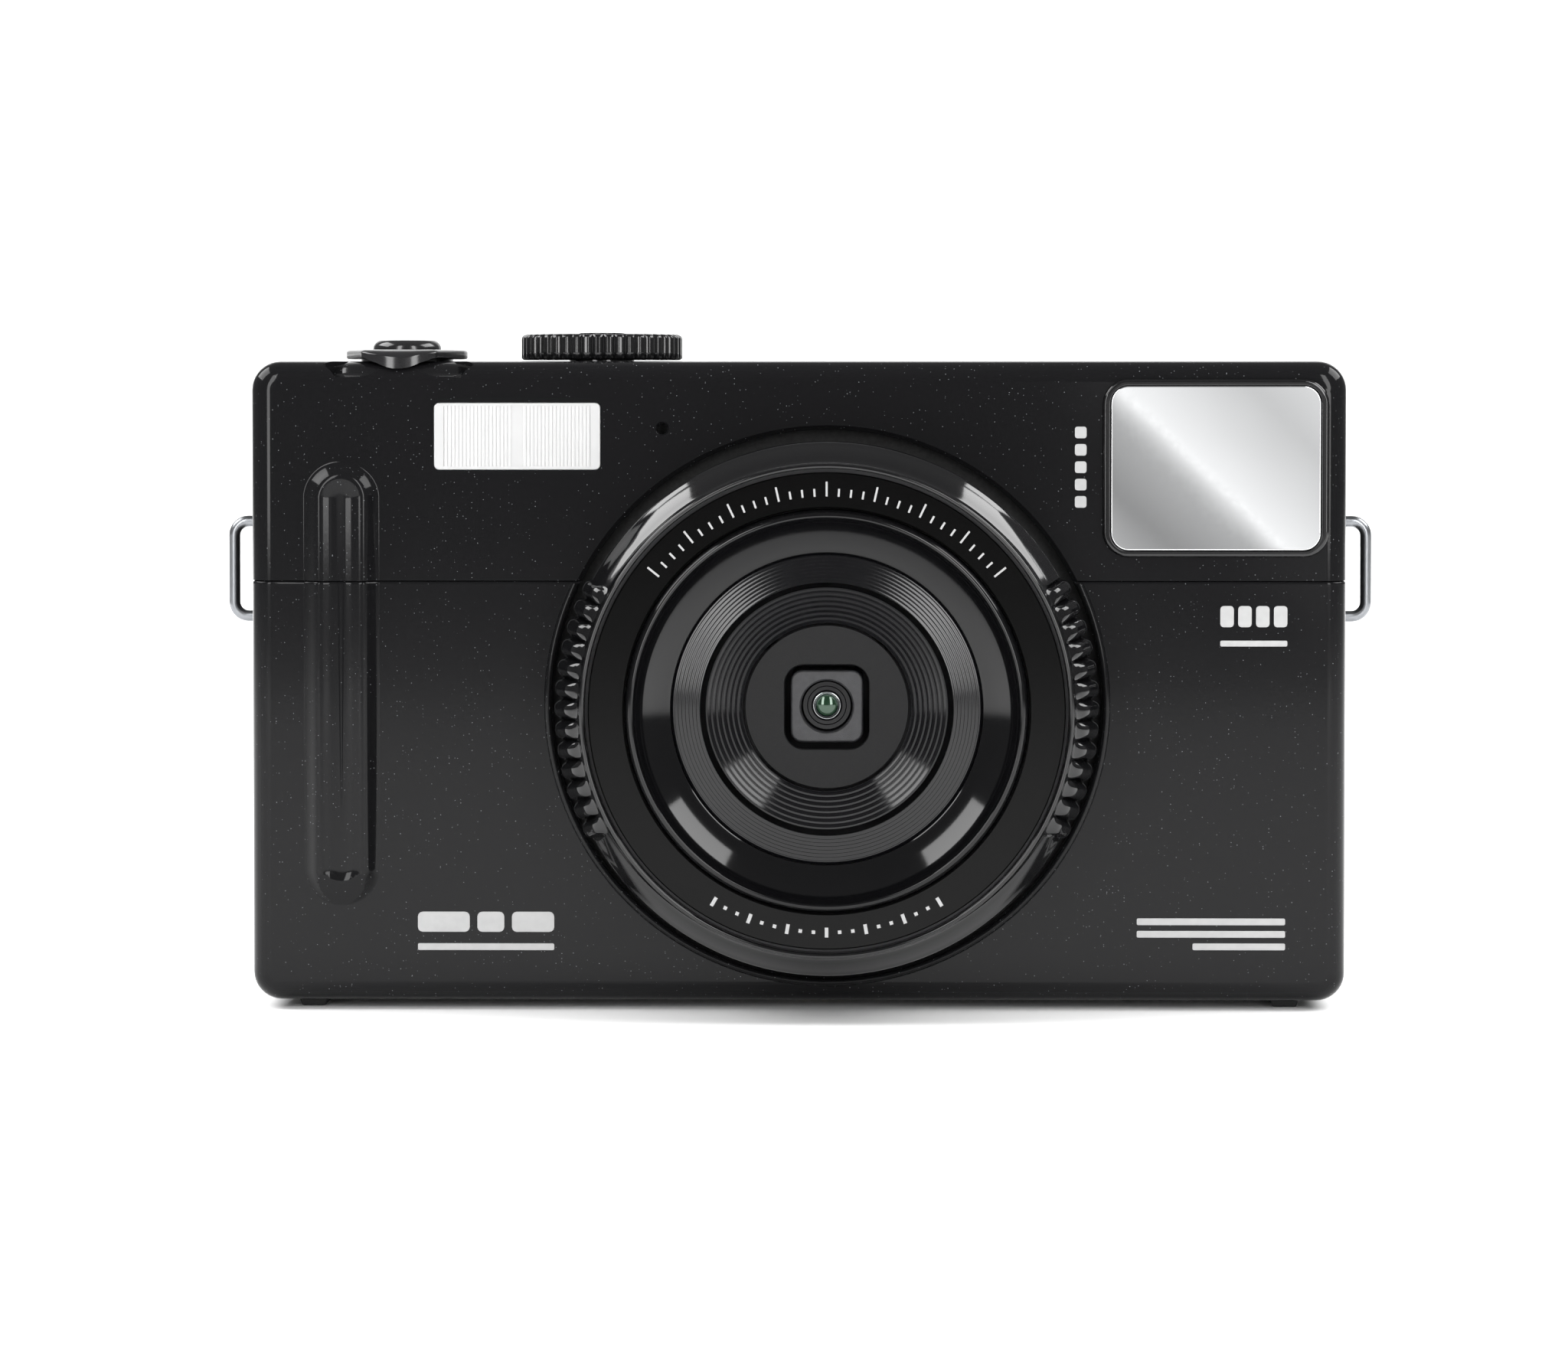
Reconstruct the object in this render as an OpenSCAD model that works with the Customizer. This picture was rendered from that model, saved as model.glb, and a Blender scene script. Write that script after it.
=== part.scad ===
// Compact digital camera, upright on its two skids.
// Front faces -Y, the hand grip is at -X, Z = 0 is the surface it stands on.

/* [Case] */
// Width of the case
body_w = 114; // [95:1:140]
// Height of the case without its skids
body_h = 66.7; // [62:0.1:84]
// Depth of the case, front face to rear face
body_d = 25; // [21:0.5:32]
// Thickness of the moulded walls
wall = 1.6; // [1.2:0.1:2]
// Radius of the case's corners seen from the front
corner_r = 3; // [2.4:0.1:5]
// Radius along the front and rear edges
edge_r = 2.2; // [1.2:0.1:2.4]
// Height of the upper cover, from its roof to the parting line
upper_h = 22.8; // [21:0.1:25]
// Depth of the shallow rear cover
rear_d = 3.5; // [3:0.1:5]
// Height of the skids
foot_h = 0.9; // [0.6:0.1:1.5]
// How far the thumb rest stands out at the rear
rear_out = 1; // [0.6:0.1:1.6]

/* [Lens] */
// Sideways place of the lens axis
lens_x = 3; // [0:0.5:8]
// Height of the lens axis over the bottom of the case
lens_up = 31.1; // [30:0.1:34]
// How far the lens ring stands out of the front face
lens_out = 12; // [9:0.5:14]
// Radius of the opening in the covers
collar_r = 29.2; // [26:0.1:29.6]
// Radius of the grip ring at its foot
ring_r = 28; // [25:0.1:28.4]
// Radius of the grip ring's rounded lip
lip_r = 24.8; // [23:0.1:25]
// Radius of the cone's mouth
cone_r = 19.6; // [18:0.1:21]
// Nubs on each side of the grip ring
nub_count = 13; // [5:1:15]
// Angle between two nubs
nub_pitch = 4.5; // [4:0.1:5]

/* [Controls] */
// Diameter of the mode dial
dial_d = 17.1; // [14:0.1:20]
// How far the mode dial stands above the roof
dial_up = 3.1; // [2:0.1:4]
// Ribs round the mode dial
dial_ribs = 44; // [24:1:60]
// Diameter of the shutter button
shutter_d = 7.3; // [6:0.1:8]
// Travel of the shutter button
shutter_travel = 0.8; // [0.5:0.1:0.9]
// Outer diameter of the zoom lever's ring
lever_d = 12.9; // [12.4:0.1:16]
// Swing of the zoom lever each way from its rest
lever_swing = 15; // [8:1:15]
// Travel of the rear keys
key_travel = 0.3; // [0.2:0.05:0.35]

/* [Screen and flash] */
// Width of the screen's window
screen_w = 66; // [55:1:68]
// Height of the screen's window
screen_h = 50; // [42:1:51]
// Width of the flash window
flash_w = 17.3; // [14:0.1:20]
// Height of the flash window
flash_h = 6.95; // [5:0.05:8]
// Width of the mirror's bezel
mirror_w = 23.4; // [18:0.1:24]
// Height of the mirror's bezel
mirror_h = 18.4; // [14:0.1:18.6]

/* [Battery and mounts] */
// Battery pack width
battery_w = 30; // [26:0.5:31]
// Battery pack height
battery_h = 40; // [34:0.5:44]
// Battery pack thickness
battery_t = 6; // [5:0.1:7]
// Radius of the tripod thread
tripod_r = 3.175; // [3.175]
// Depth of the tripod thread
tripod_depth = 5.5; // [4.5:0.1:6]

/* [Clearances] */
// Radial gap of the fits that turn or slide
fit = 0.05; // [0.03:0.01:0.1]
// Gap between a key and its hole
key_gap = 0.3; // [0.3:0.05:0.5]

/* [Hidden] */

// The case's own planes
case_z = foot_h;
roof_z = foot_h + body_h;
parting_z = roof_z - upper_h;
depth_all = lens_out + body_d + rear_out;
front_y = lens_out - depth_all / 2;
rear_y = front_y + body_d;
split_y = rear_y - rear_d;
half_w = body_w / 2;
lens_z = foot_h + lens_up;

// Corner points of an upright rounded rectangle round the origin
function round_rect(w, h, r, n = 5) = [
    for (c = [[1, 1, 0], [-1, 1, 90], [-1, -1, 180], [1, -1, 270]], i = [0:n])
        [c[0] * (w / 2 - r) + r * cos(c[2] + 90 * i / n), c[1] * (h / 2 - r) + r * sin(c[2] + 90 * i / n)]
];

// A pill: a rounded rectangle whose short sides are half circles
function pill(w, h, n = 8) = round_rect(w, h, min(w, h) / 2 - 0.01, n);

// An arc's points from angle a to angle b
function arc(x, y, r, a, b, n = 6) = [for (i = [0:n]) [x + r * cos(a + (b - a) * i / n), y + r * sin(a + (b - a) * i / n)]];

// A plate drawn as seen from the front, from depth y backwards
module front_plate(outline, x, z, y, t) {
    translate([x, y + t, z]) rotate([90, 0, 0]) linear_extrude(t) polygon(outline);
}

// A round piece whose axis runs front to rear
module front_disc(x, z, y, t, r) {
    translate([x, y + t, z]) rotate([90, 0, 0]) cylinder(h = t, r = r, $fn = 64);
}

// A piece turned round the lens axis, from points (radius, distance in front of the case)
module lens_turn(points) {
    translate([lens_x, front_y, lens_z]) rotate([90, 0, 0]) rotate_extrude($fn = 96) polygon(points);
}

// A box given by its lowest and highest corner
module block(low, high) {
    translate(low) cube(high - low);
}

// ---- Case ----

case_color = "#1f2022";
ridge_w = 8.2;
ridge_out = 1.2;
ridge_x = 9.55 - half_w;
ridge_top = roof_z - 10.2;
ridge_bottom = case_z + 9.9;

dial_x = 36 - half_w;
dial_y = front_y + 12.2;
dial_hub_r = 3.5;
shutter_x = 15.4 - half_w;
shutter_y = front_y + 10.7;
lever_hub_r = shutter_d / 2 + 1.25;
power_x = dial_x + dial_d / 2 + 14;
power_r = 3;
flash_x = 27.8 - half_w;
flash_z = roof_z - 7.8;
mic_x = lens_x - 17.1;
mic_z = roof_z - 7;
mirror_x = half_w - 13.7;
mirror_z = roof_z - 11.1;

usb_z = case_z + 13;
usb_w = 8;
usb_t = 3;
usb_y = front_y + 15.2 - usb_t / 2;

// The round profile of the case's four corners, from front face to rear face
post = concat(
    [[0, 0]],
    [for (a = [0:22.5:90]) [corner_r - edge_r + edge_r * sin(a), edge_r - edge_r * cos(a)]],
    [for (a = [90:22.5:180]) [corner_r - edge_r + edge_r * sin(a), body_d - edge_r - edge_r * cos(a)]],
    [[0, body_d]]
);

module case_outer() {
    hull() for (x = [-1, 1], z = [case_z + corner_r, roof_z - corner_r]) {
        translate([x * (half_w - corner_r), front_y, z]) rotate([-90, 0, 0]) rotate_extrude($fn = 32) polygon(post);
    }
}

module case_space() {
    block([wall - half_w, front_y + wall, case_z + wall], [half_w - wall, rear_y - wall, roof_z - wall]);
}

module ridge() {
    front_plate(pill(ridge_w, ridge_top - ridge_bottom), ridge_x, (ridge_top + ridge_bottom) / 2, front_y - ridge_out, ridge_out + wall / 2);
}

// The solid part of the case between two planes seen from the side
module case_part(low_y, high_y, low_z, high_z) {
    intersection() {
        union() {
            case_outer();
            ridge();
        }
        block([-half_w - 1, low_y, low_z], [half_w + 1, high_y, high_z]);
    }
}

module lens_opening() {
    front_disc(lens_x, lens_z, front_y - 1, wall + 2, collar_r);
}

module roof_hole(x, y, r) {
    translate([x, y, roof_z - wall - 1]) cylinder(h = wall + 2, r = r, $fn = 64);
}

// Lower front shell
module front_cover() color(case_color) difference() {
    case_part(front_y - 5, split_y, case_z - 1, parting_z);
    case_space();
    lens_opening();
    block([door_x0 - door_gap, door_y0 - door_gap, case_z - 1], [hinge_x + wall / 2 + door_gap, door_y1 + door_gap, case_z + wall + 1]);
    translate([hinge_x, door_y0 - pin_len - 0.1, hinge_z]) rotate([-90, 0, 0]) cylinder(h = door_y1 - door_y0 + 2 * pin_len + 0.2, r = pin_r + fit, $fn = 32);
    translate([tripod_x, tripod_y, case_z - 1]) cylinder(h = wall + 2, r = bush_r, $fn = 64);
    block([half_w - wall - 1, usb_y - usb_t / 2, usb_z - usb_w / 2], [half_w + 1, usb_y + usb_t / 2, usb_z + usb_w / 2]);
    screw_holes();
}

// Upper front shell with the roof
module top_cover() color(case_color) difference() {
    case_part(front_y - 5, split_y, parting_z, roof_z + 1);
    case_space();
    lens_opening();
    front_plate(round_rect(flash_w + 0.1, flash_h + 0.1, 0.6), flash_x, flash_z, front_y - 1, wall + 2);
    front_disc(mic_x, mic_z, front_y - 1, wall + 2, 0.585);
    front_plate(round_rect(mirror_w + 0.1, mirror_h + 0.1, 2.7), mirror_x, mirror_z, front_y - 1, 2);
    roof_hole(dial_x, dial_y, dial_hub_r + fit);
    roof_hole(shutter_x, shutter_y, lever_hub_r + fit);
    roof_hole(power_x, dial_y, power_r + key_gap);
    lever_scoop();
    screw_holes();
}

// Shallow rear shell with the screen's window and the keys' holes
module rear_cover() color(case_color) difference() {
    case_part(split_y, rear_y + 1, case_z - 1, roof_z + 1);
    case_space();
    front_plate(round_rect(screen_w + 0.1, screen_h + 0.1, 1.5), screen_x, screen_z, rear_y - wall - 1, wall + 2);
    for (k = KEYS) front_disc(k[0], k[1], rear_y - wall - 1, wall + 2, k[2] + key_gap);
    front_plate(round_rect(thumb_w, thumb_h, 2.5), thumb_x, thumb_z, rear_y - 0.6, 1);
}

// Plastic frame that the boards and the screen are screwed to
module mid_frame() color("#3a3c3e") difference() {
    block([battery_x1 + 1.3, frame_y, case_z + 9.5], [half_w - wall - 0.3, frame_y + 1.2, roof_z - wall - 11.4]);
    front_plate(round_rect(34, 24, 2), lens_x + 6, lens_z - 2, frame_y - 1, 4);
    block([half_w - wall - 9, frame_y - 1, usb_z - usb_w / 2 - 1], [half_w, frame_y + 3, usb_z + usb_w / 2 + 1]);
}

// Skids of rubber that the case stands on
skid_w = 3.1;

module skid(x) color("#141414") {
    translate([x, front_y + 3.5, 0]) rotate([-90, 0, 0]) linear_extrude(body_d - 7) polygon([[-skid_w / 2, -foot_h], [skid_w / 2, -foot_h], [skid_w / 2 - 0.35, 0], [0.35 - skid_w / 2, 0]]);
}

module foot_left() skid(6.1 - half_w);

module foot_right() skid(half_w - 6.1);

// Loops of steel wire whose two ends are pressed into the case's side
loop_r = 0.6;
loop_h = 11.3;
loop_out = 2.65;
loop_z = roof_z - 22;
loop_y = front_y + 12.5;

module strap_loop(side) color("#b9bbbd") {
    reach = loop_out - loop_r;
    bend = 1.4;
    leg = loop_h / 2 - loop_r;
    for (s = [-1, 1]) translate([0, loop_y, loop_z]) scale_side(side) {
        translate([half_w - 1, 0, s * leg]) rotate([0, 90, 0]) cylinder(h = 1 + reach - bend, r = loop_r, $fn = 24);
        translate([half_w + reach - bend, 0, s * (leg - bend)]) rotate([90, 0, 0]) rotate(s > 0 ? 0 : -90)
            rotate_extrude(angle = 90, $fn = 48) translate([bend, 0]) circle(r = loop_r, $fn = 24);
    }
    translate([side * (half_w + reach), loop_y, loop_z + bend - leg]) cylinder(h = 2 * (leg - bend), r = loop_r, $fn = 24);
}

module scale_side(side) {
    if (side < 0) mirror([1, 0, 0]) children();
    else children();
}

module strap_loop_left() strap_loop(-1);

module strap_loop_right() strap_loop(1);

// ---- Lens ----

barrel_r = lip_r - 0.2;
flange_r = barrel_r + 2.4;
back_f = -6;
seat_f = lens_out - 1.6;
groove_f = lens_out - 4;
baffle_r = cone_r - 3.7;
inner_r = baffle_r - 3.5;
plate_r = inner_r - 3.95;
plate_f = lens_out - 7.3;
module_w = 7.5;
module_bore = 2.675;
carrier_r = module_bore - fit;
carrier_f = plate_f - 2.4;
focus_travel = 0.3;

// Fixed tube with a back plate, which carries every ring of the lens
module lens_barrel() color("#26282a") difference() {
    lens_turn([
        [0, back_f], [flange_r, back_f], [flange_r, back_f + 1.2], [barrel_r, back_f + 1.2],
        [barrel_r, seat_f], [barrel_r - 1.2, seat_f], [barrel_r - 1.2, back_f + 1.2], [0, back_f + 1.2]
    ]);
    front_plate(round_rect(9, 1.2, 0.4), lens_x, lens_z - 5.5, front_y - back_f - 2, 3);
}

// The ring with nubs on both sides
module grip_ring() color(case_color) union() {
    lens_turn(concat(
        [[barrel_r + 0.05, -0.6], [ring_r, -0.6], [ring_r, lens_out * 0.55]],
        arc(lip_r + 0.4, lens_out - 0.9, 0.9, 50, 150, 5),
        [[barrel_r + 0.05, lens_out - 0.9]]
    ));
    for (side = [0, 180], i = [0:nub_count - 1]) nub(side + (i - (nub_count - 1) / 2) * nub_pitch);
}

module nub(angle) {
    translate([lens_x, front_y, lens_z]) rotate([90, 0, 0]) rotate(angle) translate([ring_r - 1.3, 0, 0])
        cylinder(h = lens_out * 0.72, r = 0.8, $fn = 16);
}

module name_ring() color("#0b0b0c") lens_turn([
    [cone_r + 0.95, seat_f], [lip_r - 0.5, seat_f], [lip_r - 0.5, lens_out - 0.6], [cone_r + 0.95, lens_out - 0.6]
]);

// Glossy funnel from the name ring down to the grooved ring
module lens_cone() color("#101012") lens_turn([
    [cone_r, lens_out], [cone_r + 0.9, lens_out], [cone_r + 0.9, seat_f], [baffle_r + 1.05, groove_f - 0.8],
    [baffle_r + 0.05, groove_f - 0.8], [baffle_r + 0.05, groove_f + 0.3]
]);

// Flat ring with fine grooves, on its own tube
module outer_baffle() color("#1a1a1c") lens_turn(concat(
    [[inner_r + 0.5, back_f + 1.2], [inner_r + 1.3, back_f + 1.2], [inner_r + 1.3, groove_f - 1.6],
     [baffle_r + 1, groove_f - 1.6], [baffle_r + 1, groove_f - 0.8], [baffle_r, groove_f - 0.8]],
    [for (i = [0:7]) each [[baffle_r - i * 0.37, groove_f], [baffle_r - i * 0.37 - 0.2, groove_f - 0.15]]],
    [[inner_r + 0.5, groove_f]]
));

// Ring of coarser steps that run inwards and back
module inner_baffle() color("#1a1a1c") lens_turn(concat(
    [[plate_r + 0.15, back_f + 1.2], [plate_r + 0.95, back_f + 1.2], [plate_r + 0.95, plate_f - 1.2],
     [inner_r, groove_f - 2], [inner_r, groove_f - 1]],
    [for (i = [0:5]) each [
        [inner_r - 0.3 - i * 0.6, groove_f - 1 - i * 0.36],
        [inner_r - 0.4 - i * 0.6, groove_f - 1.36 - i * 0.36]
    ]],
    [[plate_r + 0.15, plate_f + 0.1], [plate_r + 0.15, plate_f - 0.7], [plate_r - 0.7, plate_f - 0.7],
     [plate_r - 0.7, plate_f - 1.4], [plate_r + 0.15, plate_f - 1.4]]
));

// Flat plate with the square opening of the camera module
module centre_plate() color("#262628") difference() {
    front_disc(lens_x, lens_z, front_y - plate_f, 0.7, plate_r);
    front_plate(round_rect(module_w + 1.2, module_w + 1.2, 2), lens_x, lens_z, front_y - plate_f - 1, 3);
}

// Square cover of the camera module, bored for the focus carrier
module module_cover() color("#3c3e40") difference() {
    front_plate(round_rect(module_w, module_w, 0.5), lens_x, lens_z, front_y - plate_f + 1, plate_f - 1 - back_f - 3);
    front_disc(lens_x, lens_z, front_y - plate_f, 20, module_bore);
}

module focus_carrier() color("#151517") lens_turn([
    [1.15, back_f + 4], [carrier_r, back_f + 4], [carrier_r, carrier_f], [1.45, carrier_f],
    [1.45, carrier_f - 0.5], [1.15, carrier_f - 0.5]
]);

// Bevelled ring that holds the front element in the carrier
module lens_retainer() color("#8c8f92") lens_turn([
    [1.15, carrier_f - 0.45], [1.4, carrier_f - 0.45], [1.4, carrier_f + 0.1], [1.15, carrier_f - 0.1]
]);

module front_element() color("#14321f") lens_turn(concat(
    [[0, carrier_f - 1.2], [1.1, carrier_f - 1.2], [1.1, carrier_f - 0.35]],
    [for (a = [45:-15:0]) [1.1 * sin(a) / sin(60), carrier_f - 0.35 + 0.64 * (cos(a) - 0.5)]]
));

module image_sensor() color("#5b5f7a") front_plate(round_rect(6, 6, 0.1), lens_x, lens_z, front_y - back_f - 2.9, 0.7);

// Small board behind the sensor, with the ribbon that leads to the main board
module sensor_board() color("#20583a") union() {
    front_plate(round_rect(12, 12, 0.5), lens_x, lens_z, front_y - back_f - 2.2, 0.9);
    block([lens_x - 4, front_y - back_f - 2, lens_z - 5.9], [lens_x + 4, board_y, lens_z - 5.5]);
}

// ---- Flash, mirror and sound ----

module flash_window() color("#eef0f0") union() {
    front_plate(round_rect(flash_w, flash_h, 0.55), flash_x, flash_z, front_y, wall);
    front_plate(round_rect(flash_w + 1.6, flash_h + 1.2, 0.6), flash_x, flash_z, front_y + wall, 0.6);
}

// Bright trough behind the window
module flash_reflector() color("#d5d7d9") difference() {
    block([flash_x - flash_w / 2, front_y + wall + 0.7, flash_z - flash_h / 2], [flash_x + flash_w / 2, front_y + wall + 3.8, flash_z + flash_h / 2]);
    translate([flash_x - flash_w / 2 - 1, front_y + wall + 0.7, flash_z]) rotate([0, 90, 0]) cylinder(h = flash_w + 2, r = flash_h / 2 - 0.6, $fn = 48);
}

module flash_tube() color("#dfe8ee") translate([flash_x - flash_w / 2 - 1.5, front_y + wall + 2, flash_z])
    rotate([0, 90, 0]) cylinder(h = flash_w + 3, r = 1, $fn = 32);

// Storage capacitor of the flash
module flash_capacitor() color("#2b2d38") translate([half_w - wall - 5, front_y + wall + 4.6, case_z + wall + 6])
    cylinder(h = 32, r = 4.2, $fn = 48);

// Raised surround of the mirror
module mirror_bezel() color("#0e0e0f") difference() {
    front_plate(round_rect(mirror_w, mirror_h, 2.6), mirror_x, mirror_z, front_y - 0.5, 1.5);
    front_plate(round_rect(mirror_w - 1.5, mirror_h - 1.2, 1.9), mirror_x, mirror_z, front_y - 1, 1.2);
}

module mirror_plate() color("#c9ccce") front_plate(round_rect(mirror_w - 1.6, mirror_h - 1.3, 1.85), mirror_x, mirror_z, front_y - 0.4, 0.6);

module microphone() color("#8b8d8f") front_disc(mic_x, mic_z, front_y + wall + 0.1, 1.8, 2);

module speaker() color("#2d2f31") front_disc(half_w - wall - 8, roof_z - wall - 8, front_y + wall + 6, 3.5, 6);

// ---- Controls on the roof ----

hub_bottom = roof_z - wall - 1.6;
bracket_z = roof_z - 8;
board_z = roof_z - 12.6;
ring_z = roof_z + 0.25;
ring_t = 1;

module roof_disc(x, y, z, h, r) {
    translate([x, y, z]) cylinder(h = h, r = r, $fn = 64);
}

module shutter_button() color("#2a2b2d") union() {
    translate([shutter_x, shutter_y, roof_z + 0.1]) rotate_extrude($fn = 64) polygon(concat(
        [[0, 0], [shutter_d / 2 - 0.3, 0], [shutter_d / 2, 0.3]],
        [for (a = [0:15:90]) [shutter_d / 2 - 1.1 + 1.1 * cos(a), 1.25 + 0.6 * sin(a)]],
        [[1.2, 2.05], [0, 2.1]]
    ));
    roof_disc(shutter_x, shutter_y, bracket_z - 1.4, roof_z + 0.2 - bracket_z + 1.4, 1.5);
}

// A coil of round wire between two heights
module coil(x, y, z, h, r, wire, turns) {
    steps = 14;
    count = turns * steps;
    rim = 6;
    points = [for (i = [0:count], j = [0:rim - 1])
        let(a = 360 * i / steps, b = 360 * j / rim)
        [(r + wire * cos(b)) * cos(a), (r + wire * cos(b)) * sin(a), wire + (h - 2 * wire) * i / count + wire * sin(b)]];
    sides = [for (i = [0:count - 1], j = [0:rim - 1])
        [i * rim + j, i * rim + (j + 1) % rim, (i + 1) * rim + (j + 1) % rim, (i + 1) * rim + j]];
    ends = [[for (j = [rim - 1:-1:0]) j], [for (j = [0:rim - 1]) count * rim + j]];
    translate([x, y, z]) polyhedron(points, concat(sides, ends), convexity = 8);
}

module shutter_spring() color("#a9acae") coil(shutter_x, shutter_y, bracket_z + 0.05, roof_z - bracket_z, 2.4, 0.2, 6);

// Bracket under the roof that guides the button's stem
// It stops short of the flash reflector, which moves back with a thicker wall
bracket_y0 = max(shutter_y - 5, front_y + wall + 4);

module shutter_bracket() color("#3a3c3e") difference() {
    union() {
        block([shutter_x - 9, bracket_y0, bracket_z - 1], [shutter_x + 9, shutter_y + 6, bracket_z]);
        for (s = [-1, 1]) block([shutter_x + s * 8.4 - 0.6, bracket_y0, bracket_z - 1], [shutter_x + s * 8.4 + 0.6, shutter_y + 6, roof_z - wall]);
    }
    roof_disc(shutter_x, shutter_y, bracket_z - 2, 3, 1.5 + fit);
}

// Small board under the roof with the two press switches
module shutter_switch() color("#20583a") union() {
    block([shutter_x - 6, shutter_y - 4, board_z], [power_x + 5, shutter_y + 6, board_z + 1]);
    roof_disc(shutter_x, shutter_y, board_z + 1, bracket_z - 1.4 - shutter_travel - 0.1 - board_z - 1, 1.8);
    roof_disc(power_x, dial_y, board_z + 1, power_stem_z - key_travel - 0.1 - board_z - 1, 1.8);
}

// Outline of the zoom lever from above: a ring drawn out to a point at the front
lever_nose = 10.9;
lever_r = lever_d / 2;
nose_a = acos(lever_r / lever_nose);
lever_plan = concat([[0, -lever_nose]], [for (i = [0:24]) lever_r * [sin(nose_a + (360 - 2 * nose_a) * i / 24), -cos(nose_a + (360 - 2 * nose_a) * i / 24)]]);

// Underside of the lever, from the axis outwards: level over the roof, then down over the front edge
lever_under = [[lever_hub_r + 0.2, 0.25], [8.7, 0.25], [9.6, 0.05], [10.3, -0.35], [10.7, -0.9], [11.3, -1.35]];

module zoom_lever() color("#202123") difference() {
    union() {
        intersection() {
            translate([shutter_x, shutter_y, roof_z - 2]) linear_extrude(5) polygon(lever_plan);
            translate([shutter_x, shutter_y, roof_z]) rotate_extrude($fn = 96) polygon(concat(
                [[0, 0.25]], lever_under, [[11.3, -0.6], [10.6, 0.4], [9.6, 1], [8.4, 0.25 + ring_t], [0, 0.25 + ring_t]]
            ));
        }
        roof_disc(shutter_x, shutter_y, hub_bottom, ring_z + 0.5 - hub_bottom, lever_hub_r);
    }
    roof_disc(shutter_x, shutter_y, hub_bottom - 1, 6, shutter_d / 2 + 0.3);
}

// Room in the case's front edge for the lever's point to swing
module lever_scoop() {
    swing = lever_swing + 1.5;
    translate([shutter_x, shutter_y, roof_z]) intersection() {
        rotate_extrude($fn = 96) polygon(concat(
            [[lever_hub_r, 2]], [for (p = lever_under) [p[0], p[1] - 0.2]], [[12, -1.55], [12, 2]]
        ));
        translate([0, 0, -3]) linear_extrude(6) polygon(concat(
            [[0, 0], 9.2 * [-sin(swing + 10), -cos(swing + 10)]],
            arc(0, 0, 12, -90 - swing - 1, swing + 1 - 90, 6),
            [9.2 * [sin(swing + 10), -cos(swing + 10)]]
        ));
    }
}

module lever_washer() color("#9a9c9e") difference() {
    roof_disc(shutter_x, shutter_y, hub_bottom, 0.8, lever_hub_r + 1.3);
    roof_disc(shutter_x, shutter_y, hub_bottom - 1, 3, lever_hub_r);
}

module mode_dial() color("#1b1c1e") union() {
    difference() {
        roof_disc(dial_x, dial_y, roof_z + 0.2, dial_up - 0.4, dial_d / 2);
        for (i = [0:dial_ribs - 1]) translate([dial_x, dial_y, roof_z]) rotate(360 * i / dial_ribs)
            translate([dial_d / 2 + 0.12, 0, -1]) cylinder(h = dial_up + 2, r = 0.4, $fn = 8);
    }
    roof_disc(dial_x, dial_y, roof_z - wall - 0.6, wall + 1, dial_hub_r);
    roof_disc(dial_x, dial_y, board_z + 1.6, roof_z - wall - board_z - 1.8, 1.5);
}

module dial_cap() color("#2c2d2f") roof_disc(dial_x, dial_y, roof_z + dial_up - 0.2, 0.2, 2.45);

module dial_switch() color("#2f3133") difference() {
    block([dial_x - 5.5, dial_y - 5.5, board_z + 1], [dial_x + 5.5, dial_y + 5.5, board_z + 4.6]);
    roof_disc(dial_x, dial_y, board_z + 1.5, 4, 1.5 + fit);
}

power_stem_z = roof_z - wall - 3;

module power_button() color("#2a2b2d") union() {
    roof_disc(power_x, dial_y, roof_z - wall - 0.4, wall + 0.4, power_r);
    roof_disc(power_x, dial_y, roof_z - wall - 1, 0.8, power_r + 0.9);
    roof_disc(power_x, dial_y, power_stem_z, 2.4, 1.2);
}

// ---- Battery, card and door ----

battery_x1 = 39 - half_w;
battery_x = battery_x1 - battery_w / 2;
battery_y = front_y + 10.1;
door_x0 = battery_x1 - battery_w - 0.4;
door_y0 = front_y + 2.6;
door_y1 = battery_y + battery_t / 2 + 1.3;
door_gap = 0.2;
hinge_x = battery_x1 + 1;
hinge_z = case_z + wall / 2;
pin_r = 0.4;
pin_len = 0.9;
card_w = 24;
card_x = min(battery_x, lens_x - flange_r - 0.8 - card_w / 2);
card_y = front_y + 4.3;
pack_z = case_z + wall + 0.4;
pack_top = pack_z + battery_h;

module battery() color("#34363a") front_plate(round_rect(battery_w, battery_h, 1), battery_x, pack_z + battery_h / 2, battery_y - battery_t / 2, battery_t);

// Sleeve that the battery slides into from below
module battery_box() color("#2d2f31") difference() {
    block([battery_x - battery_w / 2 - 1, battery_y - battery_t / 2 - 1, case_z + wall + 0.1], [battery_x1 + 1, battery_y + battery_t / 2 + 1, pack_top + 2.5]);
    block([battery_x - battery_w / 2 - 0.2, battery_y - battery_t / 2 - 0.2, case_z], [battery_x1 + 0.2, battery_y + battery_t / 2 + 0.2, pack_top + 1.7]);
}

module battery_contacts() color("#c9a53f") for (i = [-1:1]) block(
    [battery_x + i * 5 - 1, battery_y - 1.5, pack_top + 0.02], [battery_x + i * 5 + 1, battery_y + 1.5, pack_top + 1.7]);

module memory_card() color("#26384f") front_plate(round_rect(card_w, 32, 0.6), card_x, pack_z + 17, card_y - 1.05, 2.1);

module card_socket() color("#b4b6b8") difference() {
    block([card_x - card_w / 2 - 0.5, card_y - 1.6, pack_z + 4], [card_x + card_w / 2 + 0.5, card_y + 1.6, pack_z + 34]);
    block([card_x - card_w / 2 - 0.1, card_y - 1.15, pack_z], [card_x + card_w / 2 + 0.1, card_y + 1.15, pack_z + 33.1]);
}

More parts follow.
